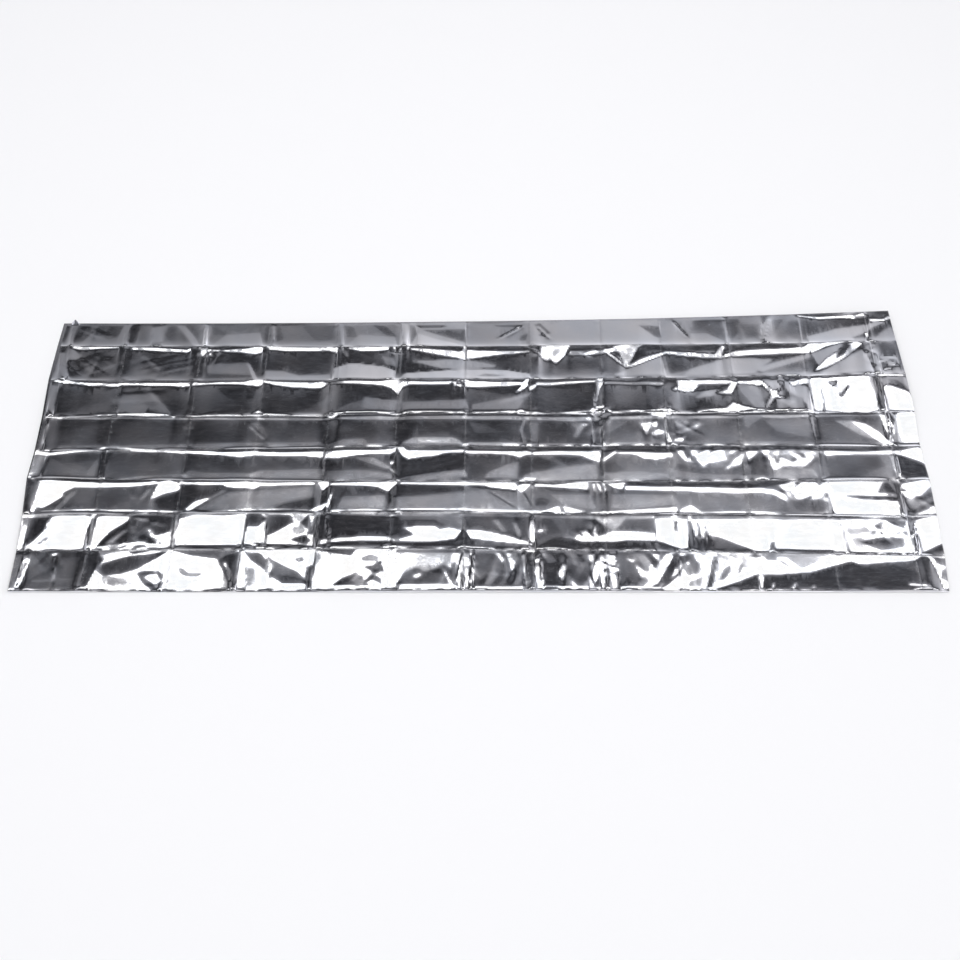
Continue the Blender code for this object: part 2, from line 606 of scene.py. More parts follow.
def shards(first: float, last: float, row: float, depth: float, *looks: Look) -> tuple[Facet, ...]:
    """Places pointed facets side by side along a fold, one for each look.

    Their points lean and reach unevenly. All lengths are in hundredths of a cell.

    Args:
        first: Column where they begin.
        last: Column where they end.
        row: Row of the fold.
        depth: How far the longest one reaches, to the back where negative.
        looks: What each one mirrors, from the left.

    Returns:
        The facets.
    """
    found = []
    step = (last - first) / len(looks)
    for number, look in enumerate(looks):
        start = first + step * number
        tip = start + step * SHARD_LEAN.at(number, first)
        reach = depth * SHARD_REACH.at(number, first)
        middle = (tip + 0.5 * step, row + 0.5 * reach)
        found.append(Facet(look, ((start, row), (start + step, row), middle, (tip, row + reach))))
    return tuple(found)


@dataclass(frozen=True)
class Crease:
    """A soft ridge from one (column, row) to another, or a trough where rise is negative.

    rise and reach, its half width, are in millimetres.
    """

    start: tuple[float, float]
    end: tuple[float, float]
    rise: float
    reach: float


@dataclass(frozen=True)
class Crush:
    """A patch of small crumples about a (column, row).

    wide and deep are its half sizes in cells and rows, rise says how rough it is, and grain
    is the width of its pleats in millimetres.
    """

    column: float
    row: float
    wide: float
    deep: float
    rise: float
    grain: float


class Zone(Enum):
    """Where on the film small dents lie."""

    CELLS = "away from the long folds"
    ALL_OVER = "everywhere"
    CORNERS = "where the folds cross"
    CROSS_FOLDS = "along the folds across"


@dataclass(frozen=True)
class Dents:
    """Small flat-sided dents in one zone of the film.

    rise is their height in millimetres, size the length of their sides in metres, turn how
    far the pattern is turned in degrees, and stretch how much longer they are than wide.
    """

    zone: Zone
    seed: int
    rise: float
    size: float
    turn: float
    stretch: float = 1.0


LIGHT, HAZE, BLUSH, PALE, SOFT, GREY, WALL, DIM, DUSK, SHADE, DARK, BLACK = Look

# Facets of each row of cells, from the back. Where two overlap, the later one counts.
ROW_1 = (
    DARK(18, 10, 36, 10, 45, 40, 30, 85, 18, 95),
    DARK(48, 10, 90, 10, 85, 60, 70, 70, 50, 50),
    SOFT(10, 0, 17, 0, 17, 100, 14, 100),
    BLACK(0, 10, 8, 10, 13, 100, 2, 100),
    SOFT(93, 10, 99, 10, 100, 90, 96, 90),
    BLACK(102, 0, 114, 0, 113, 60, 110, 100, 102, 100),
    SOFT(130, 20, 148, 10, 146, 80, 133, 85),
    DARK(152, 15, 162, 10, 175, 60, 184, 98, 160, 88, 149, 50),
    SOFT(164, 10, 173, 10, 190, 60, 198, 100, 189, 100, 180, 65),
    SHADE(176, 10, 186, 10, 199, 80, 193, 75),
    PALE(200, 5, 206, 5, 208, 95, 204, 95),
    SHADE(210, 10, 222, 20, 235, 50, 215, 50),
    SOFT(235, 50, 285, 40, 292, 95, 215, 95),
    DARK(293, 15, 299, 10, 302, 90, 295, 95),
    SOFT(302, 5, 306, 5, 308, 70, 305, 70),
    DARK(307, 10, 314, 10, 320, 70, 312, 80),
    SHADE(345, 10, 395, 10, 398, 70, 370, 80),
    SOFT(402, 5, 408, 5, 412, 90, 407, 90),
    SHADE(410, 10, 425, 20, 430, 60, 415, 60),
    SOFT(435, 50, 490, 60, 495, 97, 415, 97),
    SHADE(455, 10, 475, 15, 495, 60, 475, 50),
    PALE(500, 5, 510, 5, 510, 85, 502, 85),
    SHADE(512, 10, 520, 15, 525, 60, 513, 95),
    DARK(520, 12, 565, 12, 570, 18, 560, 24, 530, 24),
    SHADE(530, 30, 598, 30, 598, 85, 560, 55),
    PALE(525, 45, 555, 70, 590, 92, 515, 95),
    DARK(640, 15, 690, 15, 685, 30, 675, 25, 650, 22),
    DARK(688, 25, 692, 30, 668, 65, 645, 70, 670, 50),
    DARK(686, 60, 697, 50, 695, 80, 683, 80),
    DARK(706, 15, 715, 10, 730, 50, 720, 65, 712, 60, 720, 45),
    SHADE(865, 25, 900, 30, 902, 75, 892, 70, 880, 50),
    DARK(920, 12, 925, 12, 940, 60, 943, 80, 938, 80),
    SHADE(950, 20, 995, 15, 995, 90, 970, 60, 945, 60),
    DARK(950, 12, 1000, 10, 1000, 17, 950, 22),
    DARK(1000, 10, 1018, 10, 1015, 60, 1002, 95),
    SHADE(1020, 30, 1050, 30, 1040, 70, 1025, 85),
    PALE(1050, 35, 1060, 10, 1063, 10, 1050, 85, 1045, 85),
    DARK(1063, 20, 1080, 15, 1060, 80, 1053, 80),
    SHADE(1085, 25, 1098, 20, 1095, 80, 1080, 70),
    DARK(1100, 10, 1115, 20, 1112, 60, 1102, 100),
    DARK(1110, 28, 1200, 22, 1205, 35, 1150, 55, 1115, 78),
    GREY(1110, 78, 1155, 55, 1220, 40, 1290, 30, 1220, 55, 1170, 98, 1110, 98),
    BLACK(1175, 85, 1220, 52, 1295, 30, 1300, 40, 1240, 70, 1210, 98, 1180, 98),
    WALL(1220, 95, 1250, 70, 1300, 50, 1300, 95),
    LIGHT.strip(1100, 5, 8, 1130, 12, 20, 1180, 10, 18, 1200, 2, 12),
    LIGHT.strip(1215, 25, 32, 1270, 26, 34, 1300, 16, 26),
    DARK(1205, 5, 1240, 2, 1290, 6, 1250, 20, 1210, 20),
    LIGHT(1196, 70, 1200, 70, 1198, 98, 1194, 98),
)
ROW_2 = (
    SOFT(15, 8, 20, 8, 35, 30, 32, 42, 16, 42),
    DARK(35, 35, 55, 85, 30, 80, 20, 50),
    DIM(45, 50, 62, 45, 55, 85),
    DARK(75, 30, 95, 35, 90, 85, 75, 80, 80, 50),
    SOFT(3, 20, 10, 20, 22, 80, 28, 100, 20, 100, 8, 70),
    DUSK(105, 70, 120, 66, 150, 74, 145, 95, 105, 95),
    WALL(122, 30, 127, 28, 151, 68, 148, 72),
    DARK(128, 28, 145, 30, 160, 55, 152, 66),
    DARK(150, 75, 185, 65, 190, 85, 160, 85),
    BLACK(180, 25, 210, 25, 210, 85, 185, 60),
    BLACK(215, 30, 250, 20, 285, 22, 265, 45, 240, 52, 220, 45),
    DIM(210, 55, 245, 52, 272, 47, 280, 85, 215, 80),
    SOFT(271, 48, 276, 52, 290, 95, 283, 95),
    DARK(295, 12, 320, 15, 397, 15, 395, 80, 350, 82, 320, 65, 300, 40),
    SOFT(300, 72, 325, 72, 350, 86, 395, 83, 395, 97, 300, 97),
    BLACK(396, 8, 420, 10, 420, 45, 402, 62, 395, 50),
    PALE(400, 65, 425, 50, 475, 60, 495, 75, 490, 97, 400, 97),
    DARK(420, 12, 480, 12, 497, 35, 475, 55, 425, 50),
    WALL(472, 30, 490, 35, 495, 60, 480, 55),
    BLACK(500, 10, 512, 10, 515, 80, 505, 80, 498, 50),
    BLACK(512, 12, 595, 38, 530, 46, 512, 36),
    SOFT(520, 46, 590, 40, 610, 40, 650, 60, 590, 70, 560, 65),
    BLACK(520, 55, 550, 65, 578, 70, 550, 75, 515, 80),
    PALE(510, 83, 600, 70, 660, 72, 700, 85, 700, 97, 500, 97),
    SHADE(615, 92, 630, 83, 660, 88, 645, 92),
    DARK(605, 42, 650, 28, 700, 20, 703, 85, 685, 80, 670, 62, 630, 50),
    SHADE(703, 30, 725, 40, 720, 60, 705, 90),
    DARK(730, 60, 750, 45, 795, 25, 798, 60, 790, 75, 730, 70),
    SHADE(805, 30, 840, 68, 830, 75, 810, 70),
    SOFT(845, 72, 900, 35, 905, 92, 820, 92),
    DARK(905, 30, 980, 44, 990, 46, 940, 75, 910, 92),
    SOFT(940, 76, 990, 46, 1060, 42, 1030, 90, 930, 95),
    DARK(995, 42, 1050, 36, 1100, 33, 1065, 50, 1020, 44),
    SOFT(1033, 78, 1060, 58, 1110, 32, 1110, 42, 1070, 68, 1040, 87),
    SHADE(1045, 82, 1080, 62, 1110, 42, 1110, 95, 1040, 95),
    SOFT(1112, 32, 1160, 2, 1145, 40, 1120, 72),
    SOFT(1130, 82, 1190, 20, 1197, 90, 1120, 96),
    LIGHT(1112, 86, 1130, 52, 1165, 8, 1180, -2, 1188, 6, 1160, 47, 1130, 77),
    DARK(1164, 5, 1170, 10, 1160, 35, 1146, 52, 1150, 32),
    DARK(1188, 8, 1194, 10, 1192, 40, 1187, 30),
    SOFT(1200, 5, 1220, 10, 1215, 90, 1200, 90),
    DUSK(1220, 6, 1300, 5, 1300, 95, 1220, 95, 1230, 50),
    PALE.strip(1228, 50, 53, 1250, 48, 53, 1285, 50, 54),
    PALE.strip(1212, 62, 67, 1230, 58, 63, 1250, 56, 59),
    PALE.strip(1240, 69, 71, 1260, 67, 70, 1275, 67, 69),
    # Front of the first ridge
    LIGHT.strip(20, 0, 6, 35, 2, 12, 60, 2, 8, 90, 2, 7),
    LIGHT.strip(108, 2, 9, 135, 4, 13, 160, 7, 16, 182, 10, 20, 187, 2, 12),
    BLACK(182, 20, 190, 8, 202, 22, 198, 30, 185, 30),
    LIGHT(196, 3, 210, 5, 208, 15, 210, 36, 203, 30, 198, 12),
    LIGHT(210, 10, 214, 12, 220, 33, 215, 30),
    BLACK.strip(210, 2, 6, 240, 2, 8, 270, 2, 5),
    LIGHT.strip(213, 9, 15, 240, 11, 17, 270, 7, 20, 282, 2, 23, 293, 2, 20),
    LIGHT.strip(302, 1, 10, 330, 2, 13, 360, 2, 13, 390, 0, 12, 403, 2, 22),
    BLUSH(407, 0, 412, 0, 420, 30, 415, 28),
    LIGHT.strip(420, 1, 7, 440, 1, 14, 465, 2, 14, 482, 0, 10),
    LIGHT(488, 0, 493, 0, 496, 15, 498, 28, 493, 20),
    LIGHT(500, 0, 503, 2, 500, 20),
    LIGHT(510, 0, 514, 2, 513, 15, 510, 12),
    LIGHT.strip(516, 7, 12, 550, 10, 24, 580, 14, 33, 593, 16, 37, 596, 0, 40, 600, 0, 42),
    BLACK.strip(520, 2, 6, 560, 3, 10, 592, 3, 14),
    BLACK.strip(602, 3, 10, 650, 3, 13, 700, 3, 14),
    LIGHT.strip(601, 10, 39, 620, 13, 33, 650, 15, 26, 700, 15, 20),
    BLUSH(715, 0, 756, 0, 750, 25, 738, 45, 725, 40, 715, 25),
    LIGHT(712, 30, 717, 2, 725, 10, 726, 47, 720, 42),
    LIGHT(750, 3, 756, 0, 750, 30, 736, 56, 730, 40, 743, 22),
    BLACK.strip(757, 2, 17, 810, 2, 15),
    BLUSH.strip(756, 18, 30, 780, 17, 30, 800, 15, 28, 815, 15, 22),
    BLUSH(820, 5, 840, 0, 875, 0, 862, 10, 845, 60, 838, 60, 830, 20, 820, 22),
    LIGHT(836, 0, 842, 10, 844, 67, 840, 67, 833, 35),
    LIGHT(805, 14, 820, 10, 822, 20, 812, 26),
    LIGHT(808, 24, 815, 26, 842, 64, 840, 68),
    BLACK.strip(868, 2, 20, 920, 4, 20, 987, 3, 20),
    LIGHT.strip(842, 62, 68, 860, 48, 60, 880, 34, 48, 907, 21, 28, 940, 24, 37, 975, 30, 42, 988, 33,
        43),
    LIGHT(978, 30, 990, 2, 993, 10, 987, 40),
    BLACK.strip(993, 2, 20, 1030, 3, 18, 1070, 3, 15, 1103, 2, 7),
    LIGHT.strip(989, 34, 40, 1010, 20, 36, 1050, 19, 33, 1100, 13, 30, 1110, 2, 30),
    LIGHT(1107, 2, 1125, 3, 1160, -6, 1172, -3, 1135, 12, 1112, 30),
    LIGHT.strip(1243, 72, 77, 1288, 71, 75),
    LIGHT.strip(1226, 84, 90, 1256, 80, 85),
)
ROW_3 = (
    SOFT(3, 15, 13, 15, 14, 95, 3, 75),
    BLACK(13, 20, 19, 20, 16, 97, 13, 97),
    DUSK(20, 50, 50, 40, 45, 60, 22, 90),
    DUSK(50, 70, 80, 40, 95, 50, 90, 90, 50, 90),
    DIM(105, 36, 118, 42, 142, 34, 160, 62, 172, 92, 105, 93),
    WALL(142, 35, 149, 40, 164, 70, 175, 97, 170, 95, 150, 60),
    DARK(148, 30, 160, 35, 172, 70, 162, 60),
    BLACK(230, 20, 290, 20, 290, 50, 270, 60, 250, 50),
    DARK(295, 20, 310, 20, 312, 90, 300, 85),
    BLACK(365, 40, 395, 35, 390, 65, 370, 60),
    DUSK(410, 90, 430, 70, 450, 60, 500, 75, 495, 93),
    BLACK(440, 25, 485, 30, 498, 50, 480, 57, 445, 42),
    WALL(450, 52, 485, 60, 505, 60, 505, 90, 450, 85),
    BLACK(506, 30, 515, 20, 590, 20, 597, 40, 595, 55, 550, 62, 515, 64, 506, 50),
    WALL(506, 68, 550, 65, 600, 60, 605, 88, 510, 88),
    BLACK(605, 25, 660, 25, 685, 35, 660, 45, 610, 30),
    WALL(610, 75, 660, 55, 690, 60, 680, 88, 610, 88),
    SOFT(650, 70, 670, 55, 700, 42, 698, 48, 670, 66),
    BLACK(710, 18, 750, 18, 785, 20, 760, 30, 720, 28),
    SHADE(803, 20, 818, 20, 820, 95, 806, 95),
    SHADE(905, 40, 940, 45, 945, 85, 910, 90),
    SOFT(942, 60, 960, 40, 975, 35, 965, 55),
    SOFT(1066, 30, 1080, 25, 1100, 30, 1095, 80, 1085, 60),
    WALL(1060, 60, 1090, 60, 1090, 90, 1055, 90),
    WALL(1005, 25, 1035, 25, 1038, 90, 1025, 90, 1010, 50),
    LIGHT(1100, 8, 1120, 6, 1116, 100, 1102, 98),
    LIGHT(1120, 8, 1195, 4, 1194, 100, 1118, 100),
    SOFT(1130, 20, 1142, 15, 1136, 35),
    SOFT(1142, 55, 1158, 25, 1156, 35, 1145, 60),
    BLACK(1197, 5, 1206, 2, 1204, 50, 1195, 50),
    SOFT(1203, 50, 1210, 50, 1208, 100, 1200, 100),
    LIGHT(1213, 36, 1230, 28, 1300, 50, 1300, 95, 1205, 100, 1208, 70),
    DARK(1230, 13, 1260, 15, 1300, 38, 1300, 50, 1230, 28),
    SOFT(1210, 15, 1230, 10, 1228, 27, 1214, 33),
    LIGHT.strip(1205, 0, 5, 1300, 2, 7),
    # Front of the second ridge
    LIGHT.strip(5, 0, 3, 20, 2, 8, 50, 6, 14, 97, 9, 18, 104, 6, 13),
    LIGHT(16, -8, 22, -10, 27, 3, 20, 3),
    LIGHT.strip(105, 6, 14, 140, 7, 15, 175, 7, 17, 183, 4, 20, 193, 5, 17),
    LIGHT.strip(195, 6, 15, 240, 5, 13, 272, 5, 13, 280, 0, 16, 295, -1, 18, 300, 0, 10),
    LIGHT.strip(300, 1, 6, 315, 5, 14, 340, 6, 20, 370, 7, 23, 386, 3, 22, 395, 7, 12),
    LIGHT.strip(397, 6, 13, 450, 6, 15, 475, 6, 18, 490, 2, 26, 500, -1, 44, 506, 3, 26, 515, 7, 19),
    LIGHT.strip(515, 7, 17, 550, 8, 17, 578, 8, 17),
    LIGHT(580, 12, 587, 3, 590, 5, 583, 23),
    LIGHT(590, 8, 595, 3, 597, 10, 592, 18),
    LIGHT.strip(598, 2, 24, 610, 6, 24, 650, 8, 22, 688, 10, 18),
    LIGHT(692, 2, 698, 0, 696, 20, 688, 33, 675, 42, 684, 26, 688, 12),
    LIGHT(697, 25, 712, 12, 705, 30, 698, 35),
    BLACK.strip(710, 3, 10, 750, 2, 9, 790, 1, 6),
    LIGHT.strip(708, 11, 19, 750, 9, 16, 792, 6, 11),
    LIGHT(792, 1, 802, 1, 803, 12, 798, 30, 793, 68, 788, 70, 792, 30),
    BLACK.strip(805, 2, 10, 850, 3, 12, 920, 3, 15),
    BLUSH.strip(805, 10, 18, 850, 12, 20, 900, 15, 24),
    LIGHT(910, 38, 919, 25, 920, 6, 950, 10, 995, 10, 1005, 18, 995, 50, 970, 48, 990, 35, 995, 20, 950,
        22, 940, 42, 925, 38),
    BLACK.strip(1005, 2, 13, 1030, 2, 8, 1060, 2, 10, 1100, 2, 5),
    LIGHT.strip(1005, 13, 20, 1020, 13, 22, 1036, 10, 28),
    LIGHT(1034, 12, 1040, 14, 1056, 52, 1068, 62, 1060, 64, 1048, 54),
    LIGHT(1062, 28, 1066, 34, 1052, 62, 1042, 90, 1037, 92, 1046, 60),
    GREY(1040, 14, 1060, 16, 1060, 30, 1053, 44),
    GREY(1058, 66, 1080, 70, 1070, 85),
    LIGHT.strip(1062, 12, 18, 1080, 13, 26, 1100, 8, 20),
    # Back of the first valley
    LIGHT(3, 82, 6, 85, 12, 102, 3, 102),
    LIGHT.strip(13, 98, 103, 50, 94, 100, 100, 91, 96, 150, 92, 98, 172, 95, 100, 180, 99, 106),
    LIGHT.strip(195, 98, 103, 230, 97, 101, 285, 98, 102, 290, 93, 102, 298, 86, 103, 305, 93, 103),
    LIGHT.strip(306, 96, 101, 340, 97, 101, 365, 100, 104, 398, 102, 106, 402, 90, 110, 408, 94, 110,
        414, 96, 103),
    LIGHT.strip(414, 96, 101, 450, 95, 100, 488, 96, 100, 495, 92, 106, 502, 96, 102, 550, 95, 99),
    LIGHT.strip(550, 95, 99, 600, 97, 100, 640, 95, 99, 676, 93, 97),
    LIGHT.strip(679, 93, 106, 685, 88, 103, 693, 95, 104, 710, 101, 105),
    LIGHT.strip(710, 100, 104, 730, 96, 100, 750, 97, 102, 778, 95, 106),
    LIGHT(782, 95, 788, 84, 802, 77, 804, 95, 800, 108, 790, 112, 784, 105),
    LIGHT.strip(815, 100, 105, 835, 95, 101, 855, 93, 98, 876, 100, 103),
    LIGHT.strip(878, 95, 110, 890, 92, 110, 900, 86, 108, 907, 88, 110),
    LIGHT.strip(910, 101, 105, 950, 96, 102, 985, 88, 102, 996, 71, 105, 1008, 84, 106, 1030, 97, 105),
    LIGHT.strip(1030, 98, 102, 1060, 95, 100, 1100, 94, 102, 1110, 97, 103),
    LIGHT.strip(1190, 98, 102, 1240, 97, 101, 1300, 92, 95),
    *shards(1052, 1082, 14, 34, GREY, LIGHT, SOFT, LIGHT),
)
ROW_4 = (
    BLACK.strip(420, 2, 7, 500, 3, 7, 680, 3, 7, 720, 5, 10, 775, 4, 11),
    BLACK.strip(810, 4, 10, 875, 3, 10),
    BLACK.strip(915, 4, 8, 1010, 4, 8, 1080, 2, 8, 1100, 3, 8),
    PALE.strip(20, 3, 6, 110, 2, 6, 180, 5, 10, 300, 8, 14, 420, 10, 16, 450, 8, 18),
    PALE.strip(450, 8, 18, 550, 8, 18, 680, 8, 20, 730, 12, 22, 760, 12, 26, 800, 12, 22),
    PALE.strip(810, 12, 20, 900, 11, 20, 1000, 10, 17, 1060, 10, 20, 1110, 8, 12, 1200, 5, 10),
    HAZE(6, 20, 10, 20, 10, 80, 7, 80),
    WALL(190, 30, 200, 33, 208, 33, 203, 42, 193, 40),
    WALL(286, 26, 300, 20, 310, 40, 316, 70, 306, 75, 302, 50, 290, 42),
    DARK(210, 30, 280, 30, 295, 60, 270, 80, 210, 75),
    DARK(60, 20, 95, 25, 95, 80, 75, 70),
    DARK(405, 30, 490, 30, 495, 65, 440, 70, 405, 75),
    DARK(615, 30, 680, 30, 680, 75, 615, 80),
    DUSK(605, 25, 630, 35, 655, 60, 615, 60),
    SOFT.strip(30, 85, 96, 90, 84, 90, 120, 86, 94, 300, 82, 97, 390, 82, 97, 405, 95, 99),
    SOFT(402, 90, 425, 78, 455, 76, 460, 90, 505, 88, 505, 97, 402, 97),
    PALE(510, 86, 525, 73, 580, 72, 590, 80, 600, 97, 510, 97),
    SOFT.strip(605, 87, 97, 700, 90, 98, 800, 92, 98, 1200, 92, 98),
    SOFT(688, 15, 693, 15, 688, 50, 693, 90, 688, 90, 683, 50),
    DIM(698, 25, 710, 25, 710, 88, 700, 88),
    GREY(755, 32, 778, 30, 765, 72, 760, 72, 762, 45),
    LIGHT(772, 35, 780, 32, 777, 40),
    PALE(783, 25, 786, 25, 789, 90, 786, 90),
    PALE(795, 40, 799, 40, 800, 90, 797, 90),
    WALL(805, 25, 813, 20, 812, 90, 805, 90),
    LIGHT(860, 36, 876, 30, 872, 50, 868, 70, 863, 50),
    LIGHT(878, 30, 886, 27, 885, 46, 878, 44),
    LIGHT(874, 63, 885, 52, 897, 58, 886, 68, 878, 69),
    LIGHT(897, 20, 900, 20, 900, 60, 906, 90, 900, 90, 897, 60),
    GREY(910, 20, 930, 20, 928, 50, 915, 50),
    LIGHT(908, 88, 910, 80, 925, 72, 920, 88),
    GREY(935, 30, 950, 20, 942, 50),
    DIM(1005, 12, 1035, 14, 1010, 50),
    DIM(1035, 25, 1095, 20, 1100, 80, 1050, 60),
    GREY(1130, 25, 1155, 25, 1175, 50, 1185, 85, 1160, 65),
    LIGHT(1152, 25, 1172, 35, 1187, 60, 1200, 92, 1188, 92, 1175, 65),
    SOFT(1203, 5, 1227, 5, 1216, 50, 1205, 85),
    BLACK(1220, 10, 1230, 10, 1212, 70, 1208, 70),
    LIGHT(1193, 10, 1202, 10, 1202, 70, 1196, 50),
    LIGHT(1227, 10, 1250, 3, 1300, 0, 1300, 88, 1210, 90, 1213, 65, 1225, 35),
    GREY.strip(430, 91, 97, 600, 91, 98, 780, 91, 98),
    SOFT.strip(800, 89, 97, 1000, 89, 98, 1190, 88, 97),
)
ROW_5 = (
    DIM(22, 30, 40, 40, 45, 60, 35, 90, 22, 90),
    DUSK(40, 50, 62, 30, 88, 25, 80, 70, 55, 62),
    DIM(50, 70, 62, 50, 78, 62, 70, 85),
    DARK(20, 20, 50, 15, 90, 5, 90, 35, 40, 45),
    GREY(2, 15, 15, 20, 18, 90, 5, 95),
    BLACK(16, 30, 21, 30, 20, 95, 16, 95),
    BLACK(94, 0, 104, -2, 103, 100, 97, 100),
    GREY(130, 95, 150, 87, 200, 80, 210, 68, 230, 76, 300, 78, 310, 68, 400, 62, 402, 96),
    GREY(404, 70, 450, 68, 500, 78, 500, 96, 404, 96),
    DARK(450, 25, 495, 20, 500, 75, 475, 65, 450, 60),
    GREY(440, 30, 470, 30, 497, 60, 490, 65, 460, 45),
    LIGHT(494, 42, 500, 40, 499, 50, 495, 52),
    LIGHT(493, 62, 498, 62, 504, 78, 499, 75),
    BLACK(508, 85, 514, 60, 525, 38, 545, 30, 570, 22, 598, 12, 602, 68, 560, 76),
    GREY(513, 90, 550, 78, 600, 68, 607, 97, 510, 97),
    DARK(602, 20, 632, 25, 630, 80, 610, 88),
    GREY(660, 55, 680, 45, 680, 90, 630, 90, 635, 75),
    DARK(682, 35, 710, 32, 740, 50, 720, 68, 685, 75),
    GREY(690, 80, 740, 62, 790, 50, 792, 96, 685, 96),
    DARK(730, 30, 770, 35, 790, 45, 750, 55),
    DUSK(797, 45, 815, 40, 830, 70, 800, 75),
    GREY(797, 78, 850, 72, 900, 80, 900, 95, 797, 96),
    DUSK(910, 50, 950, 64, 1000, 60, 1010, 85, 950, 80, 905, 70),
    DARK(1010, 40, 1026, 20, 1030, 50, 1025, 88, 1008, 85),
    GREY(1035, 72, 1090, 65, 1095, 93, 1030, 93),
    DUSK(1110, 30, 1182, 30, 1186, 60, 1150, 92, 1110, 92),
    GREY(1195, 30, 1206, 28, 1208, 92, 1199, 92),
    DARK(1208, 28, 1230, 30, 1300, 62, 1300, 85, 1210, 88),
    # Front of the third ridge
    BLACK.strip(130, -2, 0, 180, 0, 4, 240, 0, 6, 300, 0, 8, 398, 2, 10),
    BLACK.strip(405, 2, 10, 450, 2, 9, 490, 1, 7),
    BLACK.strip(520, 1, 10, 600, 2, 12, 700, 3, 14, 790, 3, 12),
    BLACK.strip(800, 2, 18, 900, 2, 20, 1000, 2, 15, 1100, 2, 16, 1210, 2, 13, 1300, -10, 2),
    LIGHT.strip(0, 0, 12, 20, 6, 17, 50, 2, 9, 80, -6, 0, 102, -12, -7, 130, -7, 0),
    LIGHT.strip(130, -6, 2, 160, 0, 8, 200, 4, 13, 245, 8, 20),
    LIGHT.strip(245, 10, 18, 280, 10, 27, 300, 9, 22, 340, 12, 23, 370, 12, 24, 398, 10, 30),
    LIGHT.strip(400, 10, 32, 420, 10, 33, 450, 10, 24, 475, 10, 20, 495, 6, 20, 502, 0, 12),
    LIGHT(505, 0, 512, 0, 519, 12, 528, 30, 520, 38, 512, 28, 506, 12),
    LIGHT.strip(518, 10, 36, 540, 12, 31, 560, 12, 28, 570, 12, 20, 598, 11, 17),
    LIGHT.strip(600, 12, 20, 640, 14, 22, 670, 16, 26, 682, 16, 33, 690, 14, 26, 700, 15, 23),
    LIGHT.strip(702, 15, 24, 740, 14, 24, 768, 16, 26, 778, 16, 34, 793, 12, 44, 796, 10, 42),
    LIGHT(797, 38, 818, 14, 820, 20, 800, 44),
    LIGHT.strip(820, 18, 22, 850, 19, 26, 860, 19, 36, 880, 20, 40, 905, 20, 32),
    LIGHT(910, 15, 920, 13, 932, 48, 920, 42),
    LIGHT(933, 18, 998, 12, 975, 28, 978, 40, 955, 48, 945, 62, 938, 42),
    LIGHT(973, 70, 985, 45, 1003, 20, 997, 52),
    LIGHT(1005, 18, 1022, 18, 1007, 45),
    LIGHT(1024, 15, 1036, 14, 1042, 40, 1045, 66, 1036, 72, 1035, 45),
    LIGHT(1040, 68, 1050, 35, 1065, 50, 1075, 38, 1098, 28, 1080, 60, 1065, 58),
    *shards(920, 995, 13, 28, DARK, LIGHT, GREY, LIGHT, SHADE, LIGHT, GREY, LIGHT),
    *shards(1038, 1098, 20, 30, LIGHT, GREY, LIGHT, SHADE, LIGHT, GREY),
    BLUSH.strip(1035, 14, 30, 1070, 14, 25, 1105, 15, 22),
    LIGHT.strip(1108, 16, 30, 1150, 18, 25, 1200, 15, 25, 1240, 12, 30, 1270, 8, 40, 1300, 3, 52),
)
